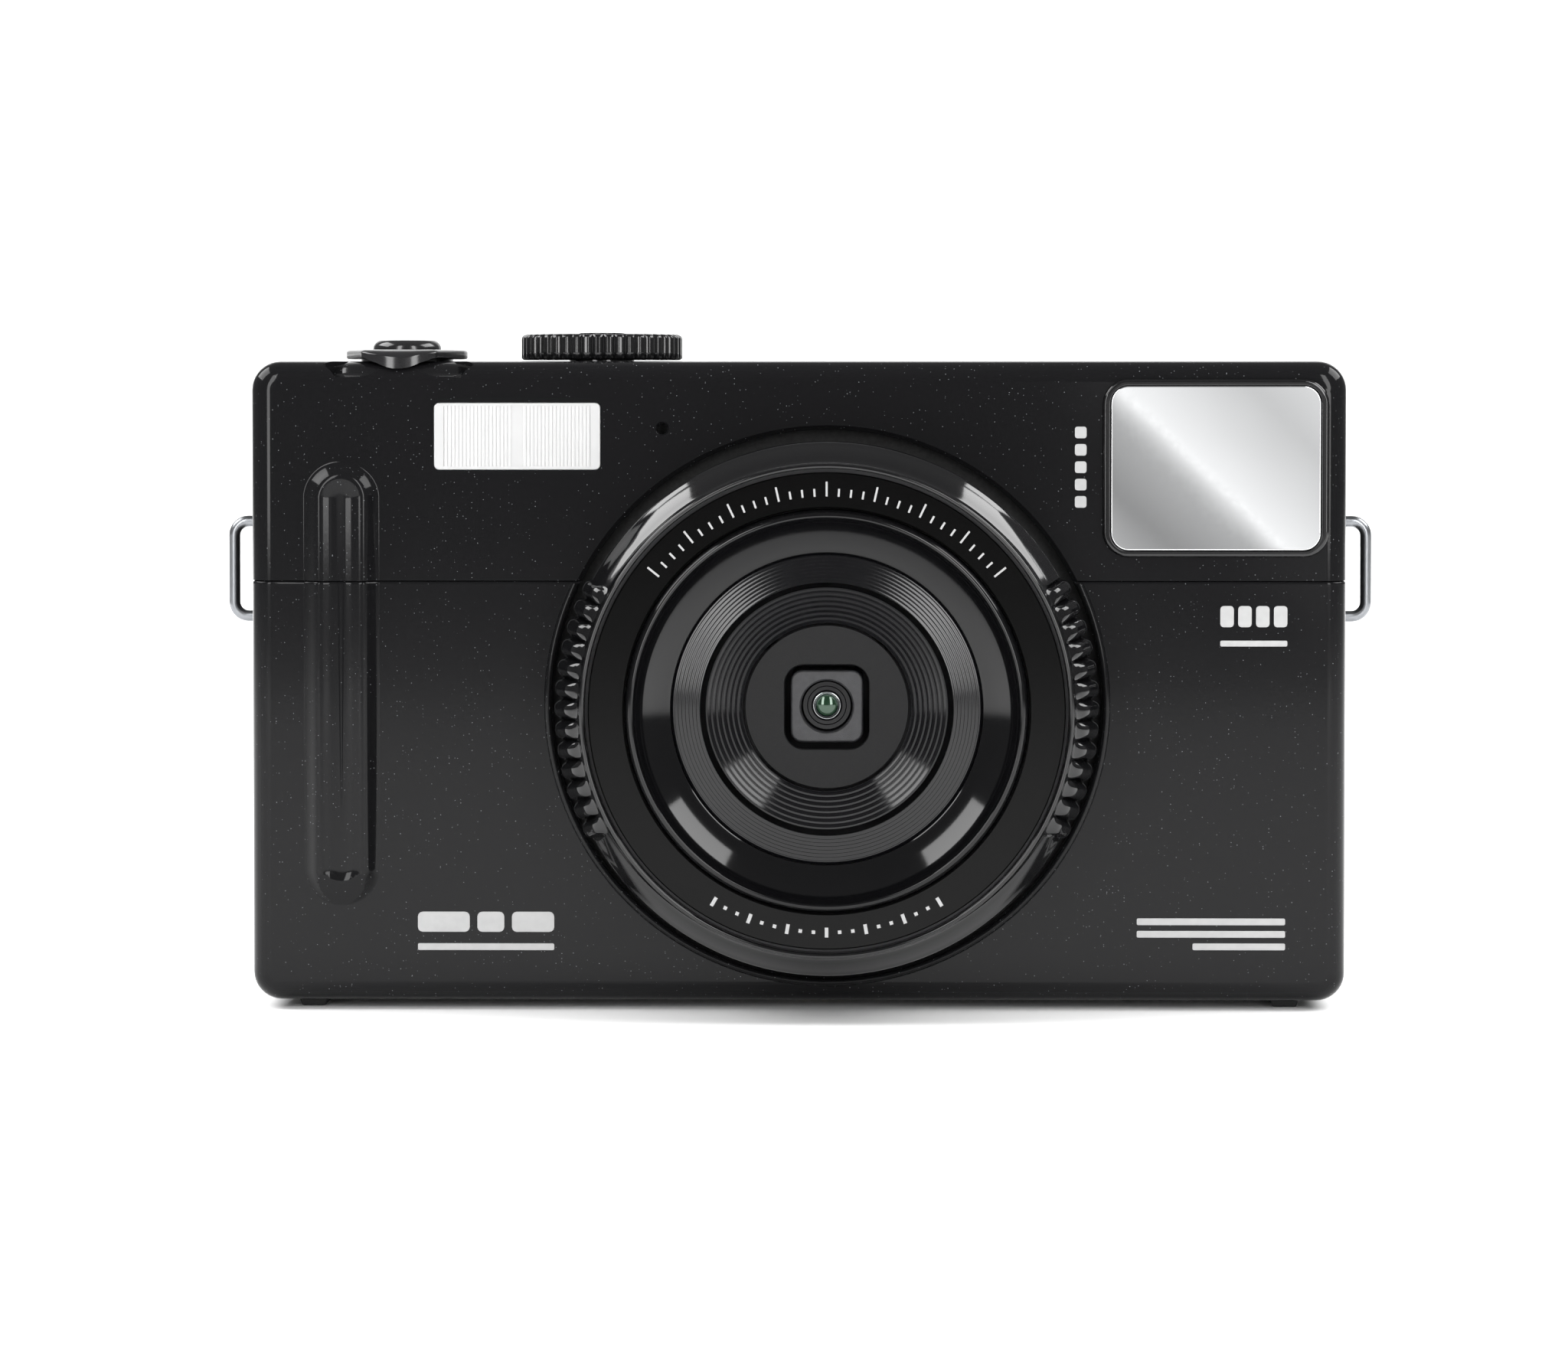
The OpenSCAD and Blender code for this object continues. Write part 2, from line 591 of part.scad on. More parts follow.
// Door under the battery and the card, with its hinge pin moulded on
module battery_door() color(case_color) union() {
    block([door_x0, door_y0, case_z], [hinge_x, door_y1, case_z + wall]);
    translate([hinge_x, door_y0, hinge_z]) rotate([-90, 0, 0]) cylinder(h = door_y1 - door_y0, r = wall / 2 - 0.05, $fn = 32);
    translate([hinge_x, door_y0 - pin_len, hinge_z]) rotate([-90, 0, 0]) cylinder(h = door_y1 - door_y0 + 2 * pin_len, r = pin_r, $fn = 32);
}

// ---- Boards ----

frame_y = front_y + 14;
board_y = frame_y + 1.2;

module main_board() color("#1f5a3a") block([battery_x1 + 2, board_y, case_z + 10], [half_w - wall - 1, board_y + 1, roof_z - wall - 12]);

module board_chips() color("#2a2b2d") for (c = [[12, 30, 12, 12], [28, 30, 9, 11], [12, 46, 8, 6], [36, 46, 6, 6], [44, 28, 5, 9]])
    block([c[0] - c[2] / 2, board_y + 1, case_z + c[1] - c[3] / 2], [c[0] + c[2] / 2, board_y + 2.2, case_z + c[1] + c[3] / 2]);

module usb_socket() color("#b4b6b8") difference() {
    block([half_w - 7.6, usb_y - usb_t / 2 + 0.05, usb_z - usb_w / 2 + 0.05], [half_w - 0.2, usb_y + usb_t / 2 - 0.05, usb_z + usb_w / 2 - 0.05]);
    block([half_w - 6.6, usb_y - usb_t / 2 + 0.35, usb_z - usb_w / 2 + 0.35], [half_w, usb_y + usb_t / 2 - 0.35, usb_z + usb_w / 2 - 0.35]);
}

// ---- Rear ----

screen_x = half_w - 4 - screen_w / 2;
screen_z = case_z + 32.6;
key_x = (screen_x - screen_w / 2 - half_w) / 2;
pad_r = 8.6;
ok_r = 4.1;
small_r = 2.6;
thumb_w = 11;
thumb_h = 14;
thumb_x = 10 - half_w;
thumb_z = roof_z - 17;
key_front = rear_y - wall - 1.1;
KEYS = [
    [key_x, case_z + 24, pad_r],
    [key_x - 7.5, case_z + 9, small_r],
    [key_x + 7.5, case_z + 9, small_r],
    [key_x + 7.5, case_z + 41, small_r]
];

// A round key with a collar behind the case wall
module round_key(k) {
    front_disc(k[0], k[1], key_front, wall + 1.7, k[2]);
    front_disc(k[0], k[1], key_front, 0.9, k[2] + key_gap + 0.5);
}

module key_stem(x, z, front) {
    front_disc(x, z, key_front - 1.5, front - key_front + 1.5, 0.9);
}

module menu_button() color("#2a2b2d") union() {
    round_key(KEYS[1]);
    key_stem(KEYS[1][0], KEYS[1][1], key_front + 0.2);
}

module delete_button() color("#2a2b2d") union() {
    round_key(KEYS[2]);
    key_stem(KEYS[2][0], KEYS[2][1], key_front + 0.2);
}

module playback_button() color("#2a2b2d") union() {
    round_key(KEYS[3]);
    key_stem(KEYS[3][0], KEYS[3][1], key_front + 0.2);
}

// Ring pressed at four sides
module direction_pad() color("#2a2b2d") union() {
    difference() {
        round_key(KEYS[0]);
        front_disc(key_x, KEYS[0][1], key_front - 1, wall + 5, ok_r + key_gap);
    }
    for (a = [0:90:270]) key_stem(key_x + 6.6 * cos(a), KEYS[0][1] + 6.6 * sin(a), key_front + 0.2);
}

module ok_button() color("#2a2b2d") union() {
    front_disc(key_x, KEYS[0][1], key_front - 1.2, wall + 2.7, ok_r);
    front_disc(key_x, KEYS[0][1], key_front - 1.3, 0.7, ok_r + key_gap + 0.6);
    key_stem(key_x, KEYS[0][1], key_front - 1);
}

// Board with one dome switch under each key
module key_board() color("#20583a") union() {
    block([key_x - 15, key_front - 3.1, case_z + 4], [key_x + 15, key_front - 2.1, case_z + 46]);
    for (k = KEYS) front_disc(k[0], k[1], key_front - 2.1, 0.2, 1.8);
    for (a = [0:90:270]) front_disc(key_x + 6.6 * cos(a), KEYS[0][1] + 6.6 * sin(a), key_front - 2.1, 0.2, 1.6);
}

module lcd_window() color("#101214") union() {
    front_plate(round_rect(screen_w, screen_h, 1.45), screen_x, screen_z, rear_y - wall, wall);
    front_plate(round_rect(screen_w + 2, screen_h + 2, 1.6), screen_x, screen_z, rear_y - wall - 0.6, 0.6);
}

module lcd_panel() color("#3b4048") front_plate(round_rect(screen_w - 1, screen_h - 1, 0.5), screen_x, screen_z, rear_y - wall - 3.1, 2.4);

// Pressed steel tray round the screen panel
module lcd_frame() color("#9a9c9e") difference() {
    front_plate(round_rect(screen_w + 0.4, screen_h + 0.4, 1), screen_x, screen_z, rear_y - wall - 3.7, 3);
    front_plate(round_rect(screen_w - 0.8, screen_h - 0.8, 0.6), screen_x, screen_z, rear_y - wall - 3.15, 3);
}

module thumb_rest() color("#18191a") front_plate(round_rect(thumb_w - 0.1, thumb_h - 0.1, 2.4), thumb_x, thumb_z, rear_y - 0.6, 0.6 + rear_out);

// ---- Fastening ----

tripod_x = lens_x;
tripod_y = front_y + 12.5;
bush_r = 4.5;
screw_y = front_y + 18.6;
SCREWS = [for (s = [-1, 1], z = [case_z + 7, roof_z - 7]) [s, z]];

module tripod_bush() color("#b08d45") difference() {
    translate([tripod_x, tripod_y, case_z]) cylinder(h = tripod_depth + 1.2, r = bush_r - 0.02, $fn = 64);
    translate([tripod_x, tripod_y, case_z - 1]) cylinder(h = tripod_depth + 1, r = tripod_r, $fn = 64);
}

module at_screws() {
    for (p = SCREWS) translate([p[0] * half_w, screw_y, p[1]]) rotate([0, -90 * p[0], 0]) children();
}

module screw_holes() {
    at_screws() {
        translate([0, 0, -1]) cylinder(h = 1.8, r = 1.55, $fn = 32);
        cylinder(h = wall + 1, r = 0.85, $fn = 32);
    }
}

module case_screws() color("#8f9193") at_screws() difference() {
    union() {
        translate([0, 0, 0.1]) cylinder(h = 0.65, r = 1.5, $fn = 32);
        translate([0, 0, 0.5]) cylinder(h = 4.5, r = 0.8, $fn = 32);
    }
    for (a = [0, 90]) rotate(a) block([-0.9, -0.18, -1], [0.9, 0.18, 0.45]);
}

front_cover();
top_cover();
rear_cover();
mid_frame();
foot_left();
foot_right();
strap_loop_left();
strap_loop_right();
lens_barrel();
grip_ring();
name_ring();
lens_cone();
outer_baffle();
inner_baffle();
centre_plate();
module_cover();
lens_retainer();
front_element();
focus_carrier();
image_sensor();
sensor_board();
flash_window();
flash_reflector();
flash_tube();
flash_capacitor();
mirror_bezel();
mirror_plate();
microphone();
speaker();
shutter_button();
shutter_spring();
shutter_bracket();
shutter_switch();
zoom_lever();
lever_washer();
mode_dial();
dial_cap();
dial_switch();
power_button();
lcd_window();
lcd_panel();
lcd_frame();
menu_button();
playback_button();
delete_button();
direction_pad();
ok_button();
key_board();
thumb_rest();
main_board();
board_chips();
usb_socket();
card_socket();
memory_card();
battery_box();
battery();
battery_contacts();
battery_door();
tripod_bush();
case_screws();
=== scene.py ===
import bpy
import bmesh
from math import acos, asin, atan2, cos, pi, radians, sin, sqrt, tau
from mathutils import Matrix, Vector


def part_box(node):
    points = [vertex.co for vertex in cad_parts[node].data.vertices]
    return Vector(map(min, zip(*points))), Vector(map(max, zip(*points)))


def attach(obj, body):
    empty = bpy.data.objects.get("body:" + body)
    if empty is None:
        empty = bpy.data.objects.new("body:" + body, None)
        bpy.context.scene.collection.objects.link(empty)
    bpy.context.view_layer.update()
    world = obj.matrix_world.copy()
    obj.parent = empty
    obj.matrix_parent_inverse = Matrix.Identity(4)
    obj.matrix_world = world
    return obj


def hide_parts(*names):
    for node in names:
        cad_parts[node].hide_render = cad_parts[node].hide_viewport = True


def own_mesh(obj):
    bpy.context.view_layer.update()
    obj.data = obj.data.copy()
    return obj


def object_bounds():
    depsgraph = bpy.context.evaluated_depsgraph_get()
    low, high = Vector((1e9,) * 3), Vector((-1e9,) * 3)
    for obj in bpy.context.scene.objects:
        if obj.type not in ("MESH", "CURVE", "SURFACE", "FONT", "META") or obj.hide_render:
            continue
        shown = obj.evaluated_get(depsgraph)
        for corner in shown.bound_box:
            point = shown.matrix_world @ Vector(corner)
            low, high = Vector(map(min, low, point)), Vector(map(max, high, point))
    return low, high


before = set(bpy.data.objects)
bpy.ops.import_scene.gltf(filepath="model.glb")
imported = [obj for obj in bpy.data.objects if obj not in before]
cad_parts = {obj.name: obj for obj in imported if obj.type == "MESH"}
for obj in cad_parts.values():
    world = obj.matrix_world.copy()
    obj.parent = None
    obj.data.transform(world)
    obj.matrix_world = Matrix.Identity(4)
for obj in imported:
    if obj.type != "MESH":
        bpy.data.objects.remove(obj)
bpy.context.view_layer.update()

# ---- Table, backdrop, lamps and camera ----
# A product table: a white sweep that runs up behind the camera body, two tall softboxes in front
# at the left and right, and a broad one overhead. Gloss black shows little but these lamps.

MM = 0.001
low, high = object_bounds()
foot_low, foot_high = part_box("foot_left")
lower_low, lower_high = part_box("front_cover")
upper_low, upper_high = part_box("top_cover")
rear_low, rear_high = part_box("rear_cover")
ring_low, ring_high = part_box("grip_ring")

half_w = upper_high.x
case_z = lower_low.z
roof_z = upper_high.z
parting_z = upper_low.z
rear_y = rear_high.y
split_y = rear_low.y
lens_x = (ring_low.x + ring_high.x) / 2
lens_z = (ring_low.z + ring_high.z) / 2
case_d = 25 * MM
front_y = rear_y - case_d


def linear(code):
    """The linear colour of an sRGB hex code such as 1f2022."""
    parts = [int(code[i:i + 2], 16) / 255 for i in (0, 2, 4)]
    return [p / 12.92 if p <= 0.04045 else ((p + 0.055) / 1.055) ** 2.4 for p in parts] + [1]


def node(tree, kind, values=(), links=()):
    """Adds a node. values are its settings and plain inputs, and links join its inputs to outputs."""
    made = tree.nodes.new(kind)
    for name, value in dict(values).items():
        if isinstance(name, int) or name in made.inputs:
            made.inputs[name].default_value = value
        else:
            setattr(made, name, value)
    for name, source in dict(links).items():
        tree.links.new(source, made.inputs[name])
    return made


def blank_material(name):
    """A material with no nodes but its Object coordinates; gives back the material, its tree and those coordinates."""
    made = bpy.data.materials.new(name)
    made.use_nodes = True
    made.node_tree.nodes.clear()
    place = node(made.node_tree, "ShaderNodeTexCoord").outputs["Object"]
    return made, made.node_tree, place


def finish_material(tree, shader):
    output = node(tree, "ShaderNodeOutputMaterial")
    tree.links.new(shader.outputs[0], output.inputs["Surface"])


def clear_selection():
    for other in bpy.context.selected_objects:
        other.select_set(False)
    bpy.context.view_layer.objects.active = None


def pick(piece):
    clear_selection()
    piece.select_set(True)
    bpy.context.view_layer.objects.active = piece
    return piece


def settle(piece):
    """Puts the object at the origin, unturned and unscaled, with its place in its mesh."""
    pick(piece)
    bpy.ops.object.transform_apply(location=True, rotation=True, scale=True)
    return piece


sweep_material, tree, place = blank_material("white_paper")
paper = node(tree, "ShaderNodeBsdfPrincipled", {"Base Color": linear("f4f4f4"), "Roughness": 0.75, "Specular IOR Level": 0.2})
finish_material(tree, paper)

clear_selection()
bpy.ops.mesh.primitive_plane_add(size=4, location=(0, 0, 0))
sweep = settle(bpy.context.object)
sweep.name = "paper_sweep"
bpy.ops.object.mode_set(mode="EDIT")
bpy.ops.mesh.select_mode(type="EDGE")
bpy.ops.mesh.select_all(action="DESELECT")
shape = bmesh.from_edit_mesh(sweep.data)
for edge in shape.edges:
    edge.select = all(vert.co.y > 1 for vert in edge.verts)
shape.select_flush(True)
bend = 10
for step in range(bend):
    turn = pi / 2 * (step + 0.5) / bend
    reach = 0.8 * pi / 2 / bend
    bpy.ops.mesh.extrude_region_move(TRANSFORM_OT_translate={"value": (0, reach * cos(turn), reach * sin(turn))})
bpy.ops.mesh.extrude_region_move(TRANSFORM_OT_translate={"value": (0, 0, 2)})
bpy.ops.object.mode_set(mode="OBJECT")
bpy.ops.object.shade_smooth()
sweep.data.materials.append(sweep_material)


def softbox(name, place, aim, wide, tall, power):
    bpy.ops.object.light_add(type="AREA", location=place)
    lamp = bpy.context.object
    lamp.name = name
    lamp.data.shape = "RECTANGLE"
    lamp.data.size = wide
    lamp.data.size_y = tall
    lamp.data.energy = power
    lamp.rotation_mode = "QUATERNION"
    lamp.rotation_quaternion = (Vector(aim) - Vector(place)).to_track_quat("-Z", "Y")
    return lamp


middle = Vector((0, 0, 0.035))
box_y = front_y - 0.55
softbox("softbox_left", (-0.262, box_y, 0.31), (-0.262, 0, 0.31), 0.16, 0.56, 2.5)
softbox("softbox_right", (0.262, box_y, 0.31), (0.262, 0, 0.31), 0.16, 0.56, 2.5)
softbox("softbox_high_left", (-0.47, 0.03, 0.45), middle, 0.5, 0.3, 3.4)
softbox("softbox_high_right", (0.47, 0.03, 0.45), middle, 0.5, 0.3, 3.4)
overhead = softbox("softbox_over", (0, 0.1, 0.9), middle, 1.2, 0.9, 11)
back_left = softbox("sweep_left", (-0.9, 0.9, 0.9), (0, 1.9, 0.4), 0.8, 0.8, 30)
back_right = softbox("sweep_right", (0.9, 0.9, 0.9), (0, 1.9, 0.4), 0.8, 0.8, 30)
for lamp in (overhead, back_left, back_right):
    lamp.visible_glossy = False

# A small card beside the camera gives the mirror its slanting streak of light
card_material, tree, place = blank_material("reflection_card")
card_spot = node(tree, "ShaderNodeSeparateXYZ", links={"Vector": place})
slant = node(tree, "ShaderNodeMath", {"operation": "ADD"}, {0: card_spot.outputs["X"], 1: card_spot.outputs["Z"]})
level = node(tree, "ShaderNodeMapRange", {"From Min": 0.09, "From Max": 0.18}, {"Value": slant.outputs[0]})
ramp = node(tree, "ShaderNodeValToRGB", links={"Fac": level.outputs[0]})
stops = ramp.color_ramp.elements
stops[0].color = (0.65, 0.65, 0.65, 1)
stops[1].position = 0.2
stops[1].color = (0.36, 0.36, 0.36, 1)
for at, grey in ((0.4, 0.55), (0.455, 0.95), (0.47, 1.5), (0.5, 1.2), (0.8, 0.75), (1.0, 0.95)):
    stops.new(at).color = (grey, grey, grey, 1)
glow = node(tree, "ShaderNodeEmission", links={"Color": ramp.outputs["Color"]})
finish_material(tree, glow)
clear_selection()
bpy.ops.mesh.primitive_plane_add(size=1, location=(0.092, box_y, 0.048), rotation=(pi / 2, 0, 0))
card = bpy.context.object
card.name = "reflection_card"
card.scale = (0.075, 0.075, 1)
settle(card)
card.data.materials.append(card_material)

room = bpy.data.worlds.new("grey_room")
room.use_nodes = True
room.node_tree.nodes["Background"].inputs["Color"].default_value = linear("ffffff")
room.node_tree.nodes["Background"].inputs["Strength"].default_value = 0.25
bpy.context.scene.world = room
bpy.context.scene.view_settings.view_transform = "Standard"

# The camera stands a little above the roof's height, nearly level, and a part of the drop to the
# frame's middle is shift, so that upright edges stay upright.
eye_distance = 475 * MM
frame_width = 162.7 * MM
lens_drop = 0.103
shot = bpy.data.cameras.new("studio_camera")
shot.sensor_width = 36
shot.lens = shot.sensor_width * eye_distance / frame_width
shot.shift_y = -lens_drop
eye = bpy.data.objects.new("studio_camera", shot)
bpy.context.collection.objects.link(eye)
eye.location = (4.75 * MM, front_y - eye_distance, case_z + 62.6 * MM)
eye.rotation_euler = (radians(88.45), 0, radians(0.75))
bpy.context.scene.camera = eye

# ---- Case: lower front, upper front and rear shells ----
# Three shells of injection-moulded ABS, screwed together. The plastic is gloss black with a little
# aluminium flake in it, so it shows crisp strips of light and a fine sparkle beside them.

corner_r = 3 * MM
edge_r = 2.2 * MM
wall = 1.6 * MM
collar_r = 28.5 * MM


def choose(piece, kind, test):
    """Selects the points, edges or faces that pass a test, and nothing else, in edit mode."""
    bpy.ops.mesh.select_mode(type={"verts": "VERT", "edges": "EDGE", "faces": "FACE"}[kind])
    bpy.ops.mesh.select_all(action="DESELECT")
    mesh = bmesh.from_edit_mesh(piece.data)
    for part in getattr(mesh, kind):
        part.select = bool(test(part))
    mesh.select_flush_mode()
    bmesh.update_edit_mesh(piece.data)


def on_plane(part, axis, value, slack=2e-5):
    """True for an edge or a face that lies wholly in the plane axis = value."""
    return all(abs(vert.co[axis] - value) < slack for vert in part.verts)


def round_edges(piece, test, width, steps):
    """Rounds the edges that pass a test."""
    pick(piece)
    bpy.ops.object.mode_set(mode="EDIT")
    choose(piece, "edges", test)
    bpy.ops.mesh.bevel(offset=width, offset_type="OFFSET", segments=steps, profile=0.5, affect="EDGES", clamp_overlap=False)
    bpy.ops.object.mode_set(mode="OBJECT")


def add_modifier(piece, kind, **settings):
    """Adds a modifier, sets it and applies it."""
    pick(piece)
    bpy.ops.object.modifier_add(type=kind)
    modifier = piece.modifiers[-1]
    for name, value in settings.items():
        setattr(modifier, name, value)
    bpy.ops.object.modifier_apply(modifier=modifier.name)


def combine(piece, tool, how):
    """Cuts the tool from the piece, or joins it on, and removes the tool."""
    add_modifier(piece, "BOOLEAN", operation=how, solver="EXACT", object=tool)
    bpy.data.objects.remove(tool, do_unlink=True)


def cut(piece, tool):
    combine(piece, tool, "DIFFERENCE")


def smooth(piece, angle=35):
    """Smooth shading with true flats: face corners take the normals of the larger faces."""
    pick(piece)
    bpy.ops.object.shade_smooth_by_angle(angle=radians(angle), keep_sharp_edges=False)
    add_modifier(piece, "WEIGHTED_NORMAL", keep_sharp=True, weight=100)


def outward(piece):
    """Merges doubles and turns all faces outwards."""
    pick(piece)
    bpy.ops.object.mode_set(mode="EDIT")
    bpy.ops.mesh.select_all(action="SELECT")
    bpy.ops.mesh.remove_doubles(threshold=2e-6)
    bpy.ops.mesh.normals_make_consistent(inside=False)
    bpy.ops.object.mode_set(mode="OBJECT")


def box_solid(low_corner, high_corner):
    """A plain box between two corners, used as a cutter."""
    low_corner, high_corner = Vector(low_corner), Vector(high_corner)
    clear_selection()
    bpy.ops.mesh.primitive_cube_add(size=1, location=(low_corner + high_corner) / 2, scale=high_corner - low_corner)
    return settle(bpy.context.object)


def plate(name, x, z, wide, tall, front, deep, r, rim=0, steps=6):
    """A flat plate seen from the front, with round corners and a softened front rim."""
    clear_selection()
    bpy.ops.mesh.primitive_plane_add(size=1, location=(x, front, z), rotation=(pi / 2, 0, 0))
    piece = bpy.context.object
    piece.name = name
    piece.scale = (wide, tall, 1)
    settle(piece)
    bpy.ops.object.mode_set(mode="EDIT")
    bpy.ops.mesh.select_mode(type="VERT")
    bpy.ops.mesh.select_all(action="SELECT")
    bpy.ops.mesh.bevel(offset=r, segments=steps, affect="VERTICES")
    bpy.ops.mesh.select_all(action="SELECT")
    bpy.ops.mesh.extrude_region_move(TRANSFORM_OT_translate={"value": (0, deep, 0)})
    bpy.ops.mesh.select_all(action="SELECT")
    bpy.ops.mesh.normals_make_consistent(inside=False)
    bpy.ops.object.mode_set(mode="OBJECT")
    if rim:
        round_edges(piece, lambda edge: on_plane(edge, 1, front), rim, 3)
    return piece


def turned(name, x, y, z, axis, profile, steps=160):
    """A piece turned on a lathe: profile points are (radius, distance along the axis) in mm."""
    axis = Vector(axis)
    across = Vector((0, 0, 1) if axis.x else (1, 0, 0))
    centre = Vector((x, y, z))
    spots = [centre + across * r * MM + axis * f * MM for r, f in profile]
    clear_selection()
    bpy.ops.mesh.primitive_plane_add(size=MM, location=spots[0])
    piece = settle(bpy.context.object)
    piece.name = name
    bpy.ops.object.mode_set(mode="EDIT")
    bpy.ops.mesh.select_mode(type="VERT")
    bpy.ops.mesh.select_all(action="SELECT")
    bpy.ops.mesh.merge(type="CENTER")
    for here, there in zip(spots, spots[1:]):
        bpy.ops.mesh.extrude_region_move(TRANSFORM_OT_translate={"value": there - here})
    bpy.ops.mesh.select_all(action="SELECT")
    bpy.ops.mesh.spin(steps=steps, angle=tau, center=centre, axis=axis)
    bpy.ops.object.mode_set(mode="OBJECT")
    outward(piece)
    return piece


def lens_turned(name, profile, steps=160):
    """A piece turned round the lens axis: points are (radius, distance in front of the case) in mm."""
    return turned(name, lens_x, front_y, lens_z, (0, -1, 0), profile, steps)


def arc(x, y, r, first, last, count=6):
    """Points of an arc in mm, from one angle to another in degrees."""
    turns = [radians(first + (last - first) * step / count) for step in range(count + 1)]
    return [(x + r * cos(turn), y + r * sin(turn)) for turn in turns]


def speckled_plastic(name, colour, rough, flake=1.0):
    """Gloss black ABS moulded with aluminium flake, which gives sparse points of light in the black."""
    made, tree, place = blank_material(name)
    # flakes are about 0.06 mm across and lie some 0.3 mm apart
    cells = node(tree, "ShaderNodeTexVoronoi", {"Scale": 1 / (0.3 * MM)}, {"Vector": place})
    spot = node(tree, "ShaderNodeMath", {"operation": "LESS_THAN", 1: 0.14}, {0: cells.outputs["Distance"]})
    draw = node(tree, "ShaderNodeSeparateColor", links={"Color": cells.outputs["Color"]})
    bright = node(tree, "ShaderNodeMapRange", {"From Min": 0.72, "From Max": 1, "To Max": 0.4 * flake}, {"Value": draw.outputs["Red"]})
    spark = node(tree, "ShaderNodeMath", {"operation": "MULTIPLY"}, {0: spot.outputs[0], 1: bright.outputs[0]})
    tone = node(tree, "ShaderNodeMix", {"data_type": "RGBA", 6: linear(colour), 7: linear("b8bcc0")}, {0: spark.outputs[0]})
    cloud = node(tree, "ShaderNodeTexNoise", {"Scale": 1 / (7 * MM), "Detail": 3}, {"Vector": place})
    dull = node(tree, "ShaderNodeMapRange", {"To Min": rough - 0.02, "To Max": rough + 0.03}, {"Value": cloud.outputs["Fac"]})
    ripple = node(tree, "ShaderNodeTexNoise", {"Scale": 1 / (0.5 * MM), "Detail": 2}, {"Vector": place})
    bump = node(tree, "ShaderNodeBump", {"Strength": 0.012, "Distance": 0.1 * MM}, {"Height": ripple.outputs["Fac"]})
    shader = node(tree, "ShaderNodeBsdfPrincipled", {"IOR": 1.5, "Specular IOR Level": 0.17},
                  {"Base Color": tone.outputs[2], "Roughness": dull.outputs[0], "Normal": bump.outputs[0]})
    finish_material(tree, shader)
    return made


case_plastic = speckled_plastic("gloss_black_flake_abs", "111112", 0.075)


def case_block(name):
    """The whole case as one solid, with its round corners and edges and the grip's rib."""
    clear_selection()
    size = Vector((2 * half_w, case_d, roof_z - case_z))
    bpy.ops.mesh.primitive_cube_add(size=1, location=(0, front_y + case_d / 2, case_z + size.z / 2), scale=size)
    block = settle(bpy.context.object)
    block.name = name
    round_edges(block, lambda edge: abs(edge.verts[0].co.y - edge.verts[1].co.y) > case_d / 2, corner_r, 10)
    round_edges(block, lambda edge: on_plane(edge, 1, front_y) or on_plane(edge, 1, rear_y), edge_r, 8)
    combine(block, grip_rib(), "UNION")
    return block


rib_w = 8.2 * MM
rib_x = 9.55 * MM - half_w
rib_top = roof_z - 10.2 * MM
rib_foot = case_z + 9.9 * MM


def grip_rib():
    """Upright rib for the fingertips: round top end, dished along its middle, cut off aslant below."""
    r = rib_w / MM / 2
    # from the middle outwards: the finger dish, a full shoulder, then a hollow foot
    section = [(0, 0.86), (0.5, 0.87), (0.9, 0.9), (1.25, 0.97), (1.55, 1.07), (1.8, 1.15), (2.0, 1.19), (2.2, 1.2),
               (2.4, 1.17), (2.6, 1.08), (2.8, 0.94), (3.05, 0.7), (3.3, 0.46), (3.55, 0.26), (3.8, 0.09), (r, -0.03)]
    rib = turned("grip_rib", rib_x, front_y, rib_foot + rib_w / 2, (0, -1, 0), [(0, -0.8)] + [(r, -0.8)] + section[::-1], 64)
    bpy.ops.object.mode_set(mode="EDIT")
    choose(rib, "verts", lambda vert: vert.co.z > rib_foot + rib_w / 2 + 0.01 * MM)
    bpy.ops.transform.translate(value=(0, 0, rib_top - rib_foot - rib_w))
    bpy.ops.object.mode_set(mode="OBJECT")
    clear_selection()
    bpy.ops.mesh.primitive_cube_add(size=20 * MM, location=(0, 0, 0))
    wedge = settle(bpy.context.object)
    bpy.ops.object.mode_set(mode="EDIT")
    bpy.ops.mesh.select_all(action="SELECT")
    bpy.ops.transform.translate(value=(0, 0, -10 * MM))
    bpy.ops.object.mode_set(mode="OBJECT")
    wedge.rotation_euler = (radians(-70), 0, 0)
    wedge.location = (rib_x, front_y, rib_foot + 0.1 * MM)
    cut(rib, settle(wedge))
    return rib


def keep_side(piece, axis, value, side, rim, steps):
    """Cuts the piece at a plane, keeps one side, and rounds the new rim."""
    far = 200 * MM
    ends = [Vector((-far, -far, -far)), Vector((far, far, far))]
    ends[0 if side < 0 else 1][axis] = value
    cut(piece, box_solid(*ends))
    if rim:
        round_edges(piece, lambda edge: on_plane(edge, axis, value), rim, steps)


def hollow(piece):
    cut(piece, box_solid((wall - half_w, front_y + wall, case_z + wall), (half_w - wall, rear_y - wall, roof_z - wall)))


def lens_opening(rim):
    """Cutter for the lens opening, flared at the front for a chamfered rim."""
    r = collar_r / MM
    return lens_turned("lens_opening", [(0, -4), (r, -4), (r, -rim), (r + rim, 0), (r + rim, 3), (0, 3)], 192)


lower_shell = case_block("lower_front_shell")
keep_side(lower_shell, 2, parting_z, -1, 0.35 * MM, 4)
keep_side(lower_shell, 1, split_y, -1, 0.12 * MM, 2)
upper_shell = case_block("upper_front_shell")
keep_side(upper_shell, 2, parting_z, 1, 0, 0)
keep_side(upper_shell, 1, split_y, -1, 0.12 * MM, 2)
rear_shell = case_block("rear_shell")
keep_side(rear_shell, 1, split_y, 1, 0.12 * MM, 2)
for shell in (lower_shell, upper_shell, rear_shell):
    hollow(shell)

